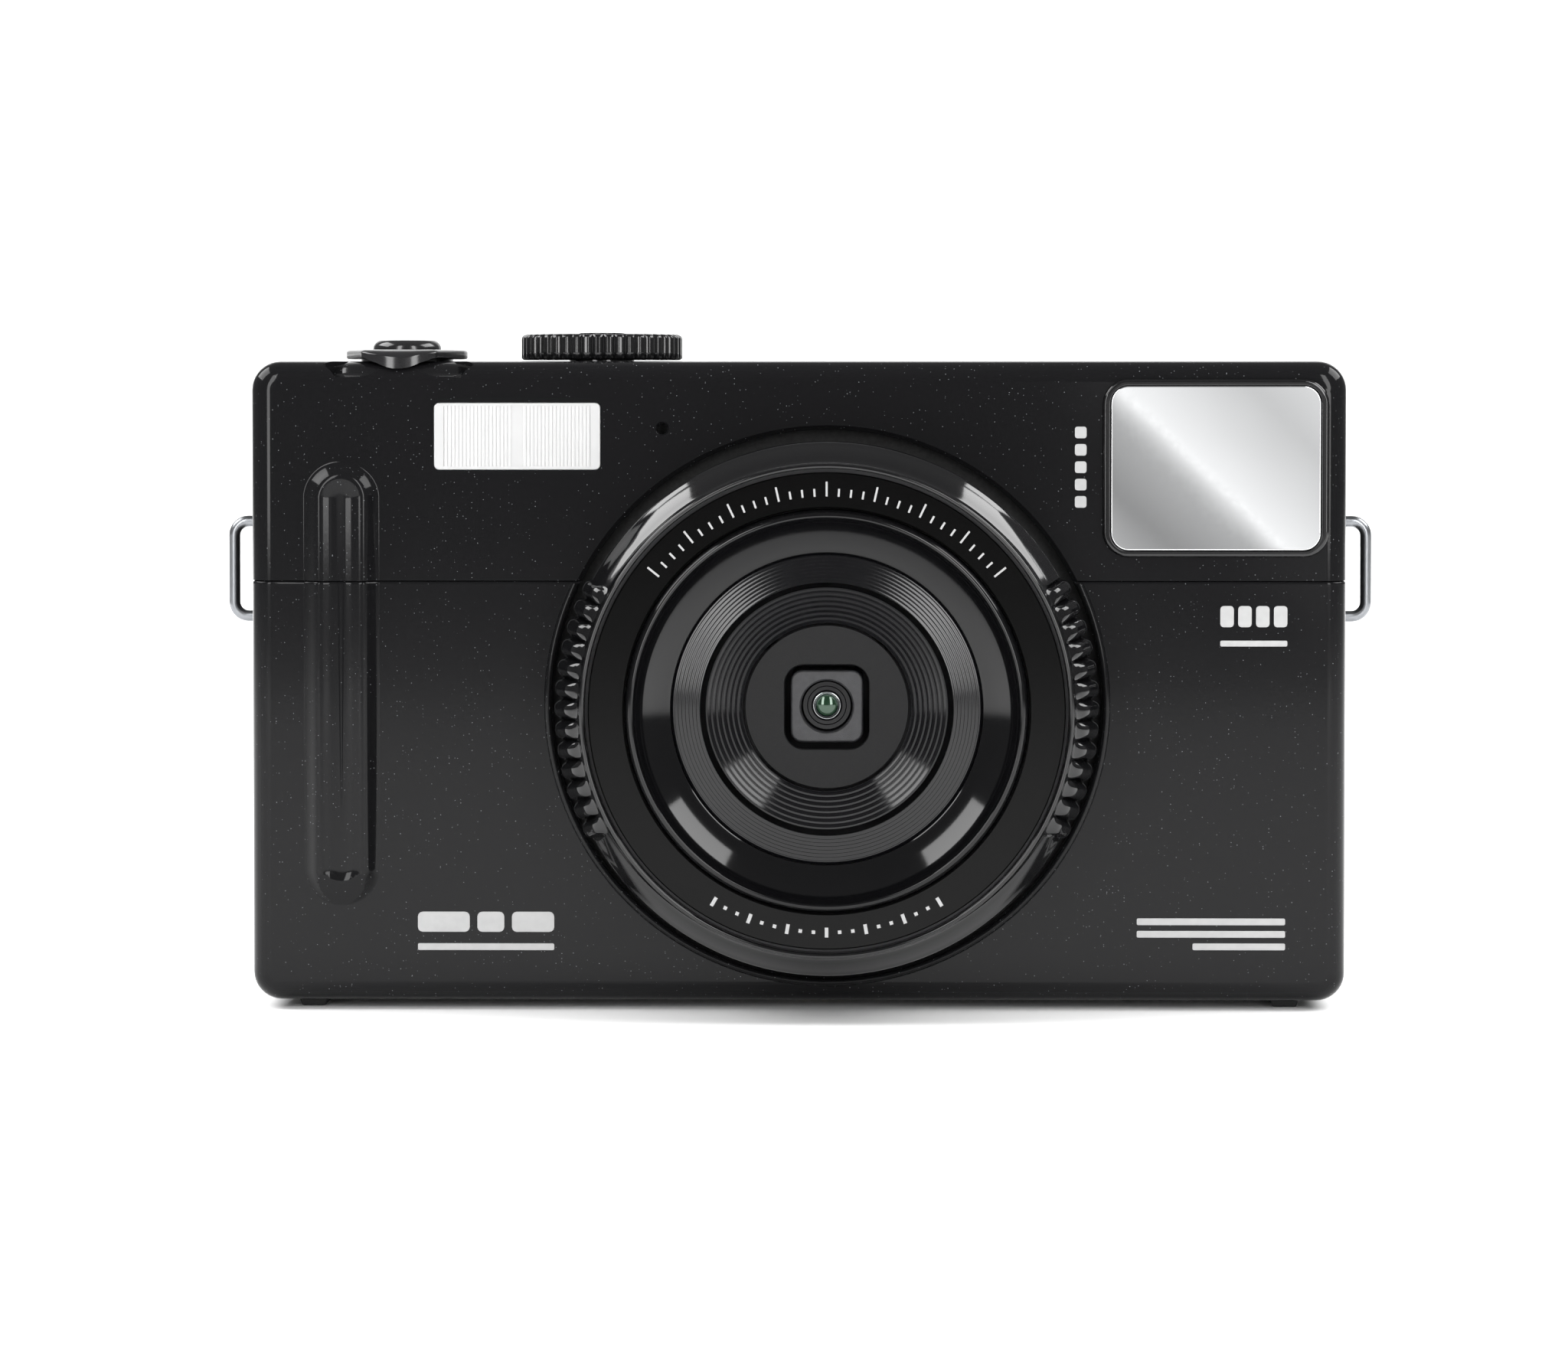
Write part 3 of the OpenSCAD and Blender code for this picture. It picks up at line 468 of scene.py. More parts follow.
# Raised lip round the opening on the lower shell, stopping at the parting line
lip = lens_turned("collar_lip", [(28.6, -0.4), (28.6, 0.1)] + arc(29.0, 0.1, 0.38, 170, 10, 6) + [(29.42, 0.05), (29.5, -0.4), (28.6, -0.4)], 192)
keep_side(lip, 2, parting_z - 0.3 * MM, -1, 0, 0)
combine(lower_shell, lip, "UNION")
cut(lower_shell, lens_opening(0.15))
cut(upper_shell, lens_opening(0.45))


def middle_of(name):
    """The middle and the size of a CAD node's box."""
    a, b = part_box(name)
    return (a + b) / 2, b - a


def post(name, x, y, low_z, high_z, r, rim=0, steps=64):
    """An upright round solid with a softened top rim; with no rim it serves as a cutter."""
    rim = rim / MM
    tall = (high_z - low_z) / MM
    crown = arc(r / MM - rim, tall - rim, rim, 0, 90, 4) if rim else [(r / MM, tall)]
    return turned(name, x, y, low_z, (0, 0, 1), [(0, 0), (r / MM, 0)] + crown + [(0, tall)], steps)


# Openings in the upper shell: flash window, microphone, mirror and the roof's three controls
flash_mid, flash_size = middle_of("flash_window")
flash_w, flash_h = flash_size.x - 1.6 * MM, flash_size.z - 1.2 * MM
mirror_mid, mirror_size = middle_of("mirror_bezel")
mic_mid, mic_size = middle_of("microphone")
dial_mid, dial_size = middle_of("mode_dial")
shutter_mid, shutter_size = middle_of("shutter_button")
washer_mid, washer_size = middle_of("lever_washer")
power_mid, power_size = middle_of("power_button")
cut(upper_shell, plate("flash_seat", flash_mid.x, flash_mid.z, flash_w + 0.1 * MM, flash_h + 0.1 * MM, front_y - MM, 3 * MM, 0.6 * MM))
cut(upper_shell, plate("mirror_seat", mirror_mid.x, mirror_mid.z, mirror_size.x + 0.1 * MM, mirror_size.z + 0.1 * MM,
                       front_y - MM, 2 * MM, 2.7 * MM))
mic_hole = turned("mic_hole", mic_mid.x, front_y, mic_mid.z, (0, -1, 0),
                  [(0, -3), (0.585, -3), (0.585, -0.15), (0.75, 0.02), (0.75, 1), (0, 1)], 48)
cut(upper_shell, mic_hole)
lever_r = shutter_size.x / 2 + 1.25 * MM
for spot, r in ((dial_mid, 3.55 * MM), (washer_mid, lever_r + 0.05 * MM), (power_mid, 3.3 * MM)):
    cut(upper_shell, post("roof_hole", spot.x, spot.y, roof_z - wall - MM, roof_z + MM, r))

# Openings in the lower shell: battery door, tripod bush and the socket at the side
door_low, door_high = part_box("battery_door")
pin_len = 0.9 * MM
door_gap = 0.2 * MM
bush_mid, bush_size = middle_of("tripod_bush")
socket_mid, socket_size = middle_of("usb_socket")
cut(lower_shell, box_solid((door_low.x - door_gap, door_low.y + pin_len - door_gap, case_z - MM),
                           (door_high.x + door_gap, door_high.y - pin_len + door_gap, case_z + wall + MM)))
cut(lower_shell, post("bush_hole", bush_mid.x, bush_mid.y, case_z - MM, case_z + wall + MM, bush_size.x / 2))
socket_cut = plate("socket_hole", 0, 0, socket_size.y + 0.1 * MM, socket_size.z + 0.1 * MM, -2 * MM, 4 * MM, 0.4 * MM)
socket_cut.rotation_euler = (0, 0, radians(90))
socket_cut.location = (half_w, socket_mid.y, socket_mid.z)
cut(lower_shell, settle(socket_cut))

# Openings in the rear shell: screen, four keys and the thumb rest's bed
screen_mid, screen_size = middle_of("lcd_window")
screen_w, screen_h = screen_size.x - 2 * MM, screen_size.z - 2 * MM
thumb_mid, thumb_size = middle_of("thumb_rest")
cut(rear_shell, plate("screen_hole", screen_mid.x, screen_mid.z, screen_w + 0.1 * MM, screen_h + 0.1 * MM,
                      rear_y - wall - MM, wall + 2 * MM, 1.5 * MM))
cut(rear_shell, plate("thumb_bed", thumb_mid.x, thumb_mid.z, thumb_size.x + 0.1 * MM, thumb_size.z + 0.1 * MM,
                      rear_y - 0.6 * MM, 2 * MM, 2.45 * MM))
collar = 0.8 * MM
KEY_NODES = ["direction_pad", "menu_button", "delete_button", "playback_button"]
for key in KEY_NODES:
    mid, size = middle_of(key)
    r = (size.x / 2 - collar + 0.3 * MM) / MM
    hole = turned("key_hole", mid.x, rear_y, mid.z, (0, 1, 0), [(0, -4), (r, -4), (r, -0.15), (r + 0.15, 0), (r + 0.15, 2), (0, 2)], 96)
    cut(rear_shell, hole)

# Screws in the two sides: holes in the shells, then the screws themselves with crossed slots
screws_low, screws_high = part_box("case_screws")
screw_y = (screws_low.y + screws_high.y) / 2
screw_spots = [(side, z) for side in (-1, 1) for z in (screws_low.z + 1.5 * MM, screws_high.z - 1.5 * MM)]
for side, z in screw_spots:
    shell = lower_shell if z < parting_z else upper_shell
    cut(shell, turned("screw_hole", side * half_w, screw_y, z, (side, 0, 0),
                      [(0, -3), (0.85, -3), (0.85, -0.8), (1.6, -0.8), (1.6, -0.1), (1.75, 0.02), (1.75, 1), (0, 1)], 48))


def surface(name, colour, rough, metal=0.0, grain=0.5, shade=0.1, relief=0.02, **settings):
    """A solid material: its colour varies by shade, its roughness a little, with a fine relief. grain is in mm."""
    made, tree, place = blank_material(name)
    coarse = node(tree, "ShaderNodeTexNoise", {"Scale": 1 / (8 * grain * MM), "Detail": 4}, {"Vector": place})
    fine = node(tree, "ShaderNodeTexNoise", {"Scale": 1 / (grain * MM), "Detail": 3}, {"Vector": place})
    base = linear(colour)
    darker = [part * (1 - shade) for part in base[:3]] + [1]
    lighter = [min(part * (1 + shade), 1) for part in base[:3]] + [1]
    tone = node(tree, "ShaderNodeMix", {"data_type": "RGBA", 6: darker, 7: lighter}, {0: coarse.outputs["Fac"]})
    dull = node(tree, "ShaderNodeMapRange", {"To Min": rough * 0.85, "To Max": rough * 1.15}, {"Value": fine.outputs["Fac"]})
    bump = node(tree, "ShaderNodeBump", {"Strength": relief, "Distance": 0.1 * MM}, {"Height": fine.outputs["Fac"]})
    values = {"Metallic": metal}
    values.update(settings)
    shader = node(tree, "ShaderNodeBsdfPrincipled", values,
                  {"Base Color": tone.outputs[2], "Roughness": dull.outputs[0], "Normal": bump.outputs[0]})
    finish_material(tree, shader)
    return made


gloss_black = surface("gloss_black_abs", "0d0d0e", 0.1, grain=0.6)
ring_black = surface("gloss_black_ring", "0a0a0b", 0.07, grain=0.6, relief=0.01)
funnel_black = surface("gloss_black_funnel", "070708", 0.08, grain=0.6, relief=0.01, **{"Specular IOR Level": 0.35})
face_black = surface("flat_black_ring_face", "060606", 0.12, grain=0.5, relief=0.01, **{"Specular IOR Level": 0.12})
satin_black = surface("satin_black_baffle", "08080a", 0.14, grain=1.0, relief=0.005, **{"Specular IOR Level": 0.4})
matt_black = surface("matt_black_plate", "0c0c0d", 0.6, grain=0.12, relief=0.1, **{"Specular IOR Level": 0.25})
button_black = surface("button_black_abs", "19191a", 0.16, grain=0.4)
rubber_black = surface("matt_black_rubber", "131313", 0.7, grain=0.15, relief=0.15)
grey_print = surface("light_grey_print", "a2a2a2", 0.55, grain=0.1)
bright_steel = surface("polished_steel_wire", "85878a", 0.3, metal=1.0, grain=0.4, shade=0.06)
sheet_steel = surface("pressed_sheet_steel", "a9abad", 0.34, metal=1.0, grain=0.2)
turned_metal = surface("turned_aluminium", "c4c6c8", 0.2, metal=1.0, grain=0.1, shade=0.05)
brass_metal = surface("turned_brass", "b8944a", 0.28, metal=1.0, grain=0.2)
chrome = surface("chromed_reflector", "dcdddf", 0.12, metal=1.0, grain=0.8, shade=0.03)
inner_black = surface("moulded_inner_plastic", "333335", 0.5, grain=0.2, relief=0.05)
board_green = surface("glass_fibre_board", "1f5a38", 0.4, grain=0.25, shade=0.15)
chip_black = surface("chip_moulding", "242426", 0.55, grain=0.08, relief=0.1)
pack_sleeve = surface("battery_sleeve", "383b40", 0.4, grain=0.5)


def dress(piece, material, body, nodes):
    """Gives a finished piece its material and body, and hides the CAD nodes it stands for."""
    piece.data.materials.clear()
    piece.data.materials.append(material)
    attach(piece, body)
    if nodes:
        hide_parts(*nodes)


def weld(pieces, name):
    """Makes one object of several."""
    clear_selection()
    for part in pieces:
        part.select_set(True)
    bpy.context.view_layer.objects.active = pieces[0]
    if len(pieces) > 1:
        bpy.ops.object.join()
    pieces[0].name = name
    return pieces[0]


screws = []
for side, z in screw_spots:
    screw = turned("case_screw", side * half_w, screw_y, z, (side, 0, 0),
                   [(0, -3.2), (0.8, -3.2), (0.8, -0.85), (1.5, -0.85), (1.5, -0.3)] + arc(1.2, -0.3, 0.3, 0, 90, 4) + [(0, 0)], 48)
    for turn in (0, 90):
        slit = box_solid((-0.6 * MM, -0.85 * MM, -0.14 * MM), (0.6 * MM, 0.85 * MM, 0.14 * MM))
        slit.rotation_euler = (radians(turn + 12), 0, 0)
        slit.location = (side * (half_w - 0.1 * MM), screw_y, z)
        cut(screw, settle(slit))
    screws.append(screw)
screws = weld(screws, "side_screws")
smooth(screws)
dress(screws, sheet_steel, "root", ["case_screws"])

# ---- Skids and strap loops ----
# Two soft rubber strips moulded under the case, and two loops of bent 1.2 mm steel wire in its sides.

for side, name in ((-1, "foot_left"), (1, "foot_right")):
    a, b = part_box(name)
    skid = box_solid(a, (b.x, b.y, case_z + 0.1 * MM))
    skid.name = name.replace("foot", "skid")
    bpy.ops.object.mode_set(mode="EDIT")
    choose(skid, "faces", lambda face: on_plane(face, 2, a.z))
    bpy.ops.transform.resize(value=(0.8, 0.985, 1), center_override=((a.x + b.x) / 2, (a.y + b.y) / 2, a.z))
    bpy.ops.object.mode_set(mode="OBJECT")
    round_edges(skid, lambda edge: not on_plane(edge, 2, case_z + 0.1 * MM), 0.16 * MM, 3)
    smooth(skid, 40)
    dress(skid, rubber_black, "root", [name])

for side, name in ((-1, "strap_loop_left"), (1, "strap_loop_right")):
    a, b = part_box(name)
    wire_r = 0.6 * MM
    inner_x = side * (half_w - wall - 0.2 * MM) / MM
    outer_x = (b.x if side > 0 else a.x) / MM + side * 0.6
    foot, crown = a.z / MM + 0.6, b.z / MM - 0.6
    bend_x = outer_x - side * 1.5
    path = [(inner_x, foot)] + arc(0, 0, 1.5, -90, 0, 7) + arc(0, 0, 1.5, 0, 90, 7) + [(inner_x, crown)]
    path[1:9] = [(bend_x + side * px, foot + 1.5 + pz) for px, pz in path[1:9]]
    path[9:17] = [(bend_x + side * px, crown - 1.5 + pz) for px, pz in path[9:17]]
    y = (a.y + b.y) / 2
    clear_selection()
    bpy.ops.curve.primitive_nurbs_path_add(location=(0, 0, 0))
    loop = bpy.context.object
    loop.name = name.replace("loop", "wire")
    loop.data.splines.clear()
    spline = loop.data.splines.new("POLY")
    spline.points.add(len(path) - 1)
    for point, (px, pz) in zip(spline.points, path):
        point.co = (px * MM, y, pz * MM, 1)
    loop = bpy.context.object
    loop.data.bevel_depth = wire_r
    loop.data.bevel_resolution = 6
    loop.data.use_fill_caps = True
    bpy.ops.object.convert(target="MESH")
    loop = bpy.context.object
    outward(loop)
    smooth(loop, 50)
    dress(loop, bright_steel, "root", [name])

# ---- Grip ring ----
# One moulded gloss black ring round the lens, fixed to the barrel: a smooth sloping front with a
# rounded lip, and thirteen barrel-shaped nubs in each side where the fingers go.

ring_front = (front_y - ring_low.y) / MM
nub_pitch = 4.5
nub_count = 13
ring_outline = ([(24.65, 3), (27.2, 3), (27.35, 3.2), (27.35, 5), (27.35, 6.5), (27.35, 7.6)] + arc(26.15, 7.9, 1.2, 0, 40, 6)
                + [(26.75, 9.2), (26.4, 9.75), (26.05, 10.25), (25.75, 10.65), (25.45, 11.0)]
                + [(25.25, 11.3), (25.2, 11.45), (25.16, 11.6)]
                + arc(24.88, ring_front - 0.26, 0.26, 20, 170, 8) + [(24.62, ring_front - 0.6), (24.62, 10.4), (24.65, 3)])
grip = lens_turned("ribbed_ring", ring_outline, 960)
bpy.ops.object.mode_set(mode="EDIT")
shape = bmesh.from_edit_mesh(grip.data)
shape.normal_update()
spread = nub_pitch * nub_count / 2
moves = []
for vert in shape.verts:
    x, z, f = (vert.co.x - lens_x) / MM, (vert.co.z - lens_z) / MM, (front_y - vert.co.y) / MM
    r = sqrt(x * x + z * z)
    turn = (atan2(z, abs(x)) * 180 / pi) / nub_pitch + nub_count / 2
    if r < 25.4 or f < 3.5 or not 0 < turn < nub_count:
        continue
    across = (turn % 1 - 0.5) * 2                       # -1 to 1 over one pitch
    along = min((f - 3.5) / 2, (11.0 - f) / 0.8, 1)      # ends of the nub
    if along <= 0:
        continue
    lift = 0.5 - 0.85 * abs(across) ** 3
    moves.append((vert, vert.normal * lift * sin(along * pi / 2) * MM))
for vert, move in moves:
    vert.co += move
bmesh.update_edit_mesh(grip.data)
bpy.ops.object.mode_set(mode="OBJECT")
smooth(grip, 50)
dress(grip, ring_black, "root", ["grip_ring"])

# ---- Name ring ----
# A flat gloss black ring pressed into the front of the grip ring. Its light grey print is a plain
# scale here: ticks over the top, and short bars with dots between them below.

name_low, name_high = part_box("name_ring")
name_front = (front_y - name_low.y) / MM
name_ring = lens_turned("ring_face", [(20.6, name_front - 0.9), (24.25, name_front - 0.9), (24.25, name_front - 0.12),
                                      (24.13, name_front), (20.75, name_front), (20.6, name_front - 0.15), (20.6, name_front - 0.9)], 240)
smooth(name_ring)
dress(name_ring, face_black, "root", ["name_ring"])


def print_bar(angle, r, long, wide, proud=0.015):
    """A thin printed bar on the name ring, standing across its radius."""
    bar = box_solid((-wide / 2 * MM, name_low.y - proud * MM, (r - long / 2) * MM), (wide / 2 * MM, name_low.y + 0.05 * MM, (r + long / 2) * MM))
    bar.rotation_euler = (0, radians(angle), 0)
    bar.location = (lens_x, 0, lens_z)
    return settle(bar)


marks = []
for step in range(-16, 17):
    long = 1.5 if step % 4 == 0 else 0.8
    marks.append(print_bar(step * 3.2, 22.55 - (1.5 - long) / 2, long, 0.2))
for step in range(-9, 10):
    long = 1.0 if step % 3 == 0 else 0.36
    marks.append(print_bar(180 + step * 3.4, 22.5, long, 0.36))
marks = weld(marks, "ring_face_print")
smooth(marks)
dress(marks, grey_print, "root", [])

# ---- Funnel: cone and the two grooved rings ----
# Gloss black cone, then two matt-dyed rings with turned grooves that catch stray light, one behind
# the other, each moulded in one piece and clipped into the barrel.

cone = lens_turned("funnel_cone", [(20.5, 10.3), (20.5, 11.0), (20.35, 11.6), (20.05, 11.9)] + arc(19.85, 11.75, 0.22, 80, 150, 4)
                   + [(19.3, 11.2), (18.6, 10.5), (17.8, 9.75), (17.0, 9.1), (16.45, 8.72), (16.1, 8.52), (15.98, 8.4), (15.98, 8.3),
                      (16.6, 8.3), (19.2, 10.3), (20.5, 10.3)], 240)
smooth(cone, 40)
dress(cone, funnel_black, "root", ["lens_cone"])


def grooved(name, outer, inner, level, pitch_steps, count, back):
    """A ring with turned grooves: pitch_steps gives one groove as (share of the pitch, height in mm)."""
    profile = [(outer, back)]
    pitch = (outer - inner) / count
    for step in range(count):
        profile += [(outer - (step + share) * pitch, level + height) for share, height in pitch_steps]
        level += pitch_steps[-1][1]
    profile += [(inner, level), (inner, back), (outer, back)]
    return lens_turned(name, profile, 200)


outer_rings = grooved("outer_grooved_ring", 15.9, 12.95, 7.9, [(0, 0), (0.4, 0.035), (0.8, 0.1), (0.88, 0.1), (0.97, 0)], 8, 6.9)
smooth(outer_rings, 30)
dress(outer_rings, satin_black, "root", ["outer_baffle"])
inner_rings = grooved("inner_grooved_ring", 12.4, 8.7, 7.0, [(0, 0), (0.32, 0), (0.4, -0.03), (0.97, -0.3)], 7, 4.2)
smooth(inner_rings, 30)
dress(inner_rings, satin_black, "root", ["inner_baffle"])

# ---- Camera module behind the funnel ----
# A matt plate with a square window, the grainy black cover of a small autofocus module, and the
# focus carrier with its bevelled retainer and green-coated front element, which move to focus.

plate_disc = lens_turned("module_plate", [(0, 4.02), (8.43, 4.02), (8.43, 4.62), (8.35, 4.7), (0, 4.7)], 160)
cut(plate_disc, plate("plate_window", lens_x, lens_z, 8.7 * MM, 8.7 * MM, front_y - 8 * MM, 8 * MM, 2 * MM, steps=8))
round_edges(plate_disc, lambda edge: on_plane(edge, 1, front_y - 4.7 * MM, 1e-6) and max(
    (vert.co.x - lens_x) ** 2 + (vert.co.z - lens_z) ** 2 for vert in edge.verts) < (7 * MM) ** 2, 0.15 * MM, 3)
smooth(plate_disc)
dress(plate_disc, matt_black, "root", ["centre_plate"])

grainy = surface("grainy_module_paint", "29292b", 0.42, metal=0.15, grain=0.09, shade=0.5, relief=0.35)
cover_low, cover_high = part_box("module_cover")
cover = plate("module_block", lens_x, lens_z, cover_high.x - cover_low.x, cover_high.z - cover_low.z,
              cover_low.y, cover_high.y - cover_low.y, 1.2 * MM, 0.3 * MM)
cut(cover, lens_turned("module_bore", [(0, -5), (2.675, -5), (2.675, 3.55), (2.85, 3.72), (2.85, 6), (0, 6)], 96))
smooth(cover)
dress(cover, grainy, "root", ["module_cover"])

carrier = lens_turned("lens_carrier", [(1.17, -1.9), (2.62, -1.9), (2.62, 2.1), (2.45, 2.29), (2.05, 2.29), (1.95, 2.2), (1.6, 2.2),
                                       (1.46, 2.1), (1.46, 1.8), (1.17, 1.8), (1.17, -1.9)], 128)
smooth(carrier)
dress(carrier, satin_black, "focus", ["focus_carrier"])
bevel_ring = lens_turned("lens_bevel", [(1.16, 1.86), (1.39, 1.86), (1.39, 2.38), (1.36, 2.39), (1.16, 2.2), (1.16, 1.86)], 96)
smooth(bevel_ring)
dress(bevel_ring, turned_metal, "focus", ["lens_retainer"])
coated_glass, tree, place = blank_material("green_coated_glass")
# The green is painted by view angle: lighter where the glass faces the camera and darker towards its rim as seen, a
# painted sheen with a little random drift
facing = node(tree, "ShaderNodeLayerWeight", {"Blend": 0.35})
drift = node(tree, "ShaderNodeTexNoise", {"Scale": 1 / (3 * MM)}, {"Vector": place})
facing_shade = node(tree, "ShaderNodeMath", {"operation": "MULTIPLY_ADD", 1: 0.2}, {0: drift.outputs["Fac"], 2: facing.outputs["Facing"]})
tint = node(tree, "ShaderNodeMix", {"data_type": "RGBA", 6: linear("122a1b"), 7: linear("07120b")}, {0: facing_shade.outputs[0]})
glass = node(tree, "ShaderNodeBsdfPrincipled", {"Roughness": 0.04, "IOR": 1.6, "Coat Weight": 0.5, "Coat Tint": linear("b8ffd0")},
             {"Base Color": tint.outputs[2]})
finish_material(tree, glass)
element = lens_turned("front_lens", [(0, 1.15), (1.09, 1.15), (1.09, 1.95), (0.95, 2.03), (0.75, 2.12), (0.5, 2.2), (0.25, 2.245), (0, 2.26)], 96)
smooth(element, 60)
dress(element, coated_glass, "focus", ["front_element"])

# Black felt ring glued behind the shells, which closes the gap round the barrel in black: it stands in for the shade in
# that gap, a painted shade
shade_felt = surface("black_felt", "0b0b0b", 0.9, grain=0.3, relief=0.3)
gasket = lens_turned("gap_felt", [(24.7, -1.75), (30.6, -1.75), (30.6, -2.1), (24.7, -2.1), (24.7, -1.75)], 96)
smooth(gasket)
dress(gasket, shade_felt, "root", [])

# ---- Flash window ----
# A clear acrylic window pressed in from behind, with moulded upright ribs that spread the light of a
# tube in a chromed trough. A plain strip runs down its middle and plain margins round its sides.

milky, tree, place = blank_material("flash_acrylic")
haze = node(tree, "ShaderNodeTexNoise", {"Scale": 1 / (2 * MM), "Detail": 2}, {"Vector": place})
veil = node(tree, "ShaderNodeMapRange", {"To Min": 0.12, "To Max": 0.2}, {"Value": haze.outputs["Fac"]})
acrylic = node(tree, "ShaderNodeBsdfPrincipled", {"Base Color": linear("cecece"), "IOR": 1.49, "Transmission Weight": 0.25},
               {"Roughness": veil.outputs[0]})
finish_material(tree, acrylic)


def bar_solid(name, outline, way):
    """A solid made by running a closed outline along a straight way."""
    shape = bmesh.new()
    shape.faces.new([shape.verts.new(point) for point in outline])
    made = bpy.data.meshes.new(name)
    shape.to_mesh(made)
    shape.free()
    piece = bpy.data.objects.new(name, made)
    bpy.context.collection.objects.link(piece)
    pick(piece)
    bpy.ops.object.mode_set(mode="EDIT")
    bpy.ops.mesh.select_all(action="SELECT")
    bpy.ops.mesh.extrude_region_move(TRANSFORM_OT_translate={"value": way})
    bpy.ops.mesh.select_all(action="SELECT")
    bpy.ops.mesh.normals_make_consistent(inside=False)
    bpy.ops.object.mode_set(mode="OBJECT")
    return piece


window = plate("flash_pane", flash_mid.x, flash_mid.z, flash_w, flash_h, front_y + 0.02 * MM, 1.7 * MM, 0.55 * MM, 0.12 * MM)
flange = plate("flash_flange", flash_mid.x, flash_mid.z, flash_w + 1.6 * MM, flash_h + 1.2 * MM, front_y + wall, 0.6 * MM, 0.6 * MM)
rib_pitch = 0.39
half_run = 19.5 * rib_pitch
crest = front_y - 0.0 * MM
outline = []
for step in range(39):
    middle_x = -half_run + (step + 0.5) * rib_pitch
    if abs(middle_x) < 0.55:
        continue
    for share in (-0.5, -0.4, -0.25, 0, 0.25, 0.4, 0.5):
        lift = 0.1 * sqrt(max(0, 1 - (share * 2) ** 2))
        outline.append((flash_mid.x + (middle_x + share * rib_pitch) * MM, front_y + (0.12 - lift) * MM, flash_mid.z - flash_h / 2 + 0.35 * MM))
slot_cut = box_solid((flash_mid.x - (half_run + 0.02) * MM, front_y - MM, flash_mid.z - flash_h / 2 + 0.35 * MM),
                     (flash_mid.x + (half_run + 0.02) * MM, front_y + 0.14 * MM, flash_mid.z + flash_h / 2 - 0.35 * MM))
cut(window, slot_cut)
outline = [(outline[0][0], front_y + 0.4 * MM, outline[0][2])] + outline + [(outline[-1][0], front_y + 0.4 * MM, outline[0][2])]
ribs = bar_solid("flash_ribs", outline, (0, 0, flash_h - 0.7 * MM))
combine(window, flange, "UNION")
combine(window, ribs, "UNION")
smooth(window, 30)
dress(window, milky, "root", ["flash_window"])

# ---- Mirror for self-portraits ----
# A mirrored acrylic plate let into a gloss black surround that stands 0.5 mm out of the case.

bezel = plate("mirror_frame", mirror_mid.x, mirror_mid.z, mirror_size.x, mirror_size.z, front_y - 0.5 * MM, 1.5 * MM, 2.6 * MM, 0.3 * MM, 10)
cut(bezel, plate("mirror_bed", mirror_mid.x, mirror_mid.z, mirror_size.x - 1.5 * MM, mirror_size.z - 1.2 * MM,
                 front_y - MM, 1.2 * MM, 1.9 * MM, steps=10))
round_edges(bezel, lambda edge: on_plane(edge, 1, front_y - 0.5 * MM, 1e-6) and all(
    abs(vert.co.x - mirror_mid.x) < mirror_size.x / 2 - 0.5 * MM and abs(vert.co.z - mirror_mid.z) < mirror_size.z / 2 - 0.5 * MM
    for vert in edge.verts), 0.1 * MM, 2)
smooth(bezel)
dress(bezel, gloss_black, "root", ["mirror_bezel"])
silver, tree, place = blank_material("mirrored_acrylic")
waves = node(tree, "ShaderNodeTexNoise", {"Scale": 1 / (14 * MM), "Detail": 1}, {"Vector": place})
bent = node(tree, "ShaderNodeBump", {"Strength": 0.05, "Distance": 0.3 * MM}, {"Height": waves.outputs["Fac"]})
dust = node(tree, "ShaderNodeTexNoise", {"Scale": 1 / (0.6 * MM), "Detail": 3}, {"Vector": place})
film = node(tree, "ShaderNodeMapRange", {"To Min": 0.02, "To Max": 0.05}, {"Value": dust.outputs["Fac"]})
mirrored = node(tree, "ShaderNodeBsdfPrincipled", {"Base Color": linear("e2e3e4"), "Metallic": 1.0},
                {"Roughness": film.outputs[0], "Normal": bent.outputs[0]})
finish_material(tree, mirrored)
mirror_w, mirror_h = mirror_size.x - 1.6 * MM, mirror_size.z - 1.3 * MM
mirror = plate("mirror_pane", mirror_mid.x, mirror_mid.z, mirror_w, mirror_h, front_y - 0.4 * MM, 0.6 * MM, 1.85 * MM, 0.15 * MM, 10)
smooth(mirror, 60)
dress(mirror, silver, "root", ["mirror_plate"])

# ---- Print on the front ----
# Small marks tampo-printed in light grey: two pairs of bars near the bottom, a column of dashes by the
# ring and a row of squares over a bar. They carry no words.


def printed(x0, x1, z0, z1, r=0.15):
    """A printed patch on the front face between two heights, in mm."""
    return plate("print", (x0 + x1) / 2 * MM, (z0 + z1) / 2 * MM, (x1 - x0) * MM, (z1 - z0) * MM, front_y - 0.012 * MM, 0.03 * MM, r * MM, steps=3)


patches = [printed(-39.6, -34.2, 8.2, 10.3, 0.5), printed(-33.4, -30.6, 8.2, 10.3, 0.5), printed(-29.8, -25.4, 8.2, 10.3, 0.5),
           printed(-39.6, -25.4, 6.3, 7.0), printed(35.2, 50.6, 9.0, 9.7), printed(35.2, 50.6, 7.7, 8.4), printed(41.0, 50.6, 6.4, 7.1)]
patches += [printed(28.7, 29.9, 52.4 + step * 1.8, 53.6 + step * 1.8, 0.25) for step in range(5)]
patches += [printed(43.8 + step * 1.85, 45.2 + step * 1.85, 40.0, 42.2, 0.35) for step in range(4)]
patches.append(printed(43.8, 50.75, 38.0, 38.6))
patches = weld(patches, "front_print")
dress(patches, grey_print, "root", [])

# ---- Roof controls: mode dial, zoom lever, shutter button and power button ----
# Gloss black mouldings. The dial is ribbed for the thumb, the lever's ring draws out to a point
# that drapes over the front edge, and the shutter button is domed.

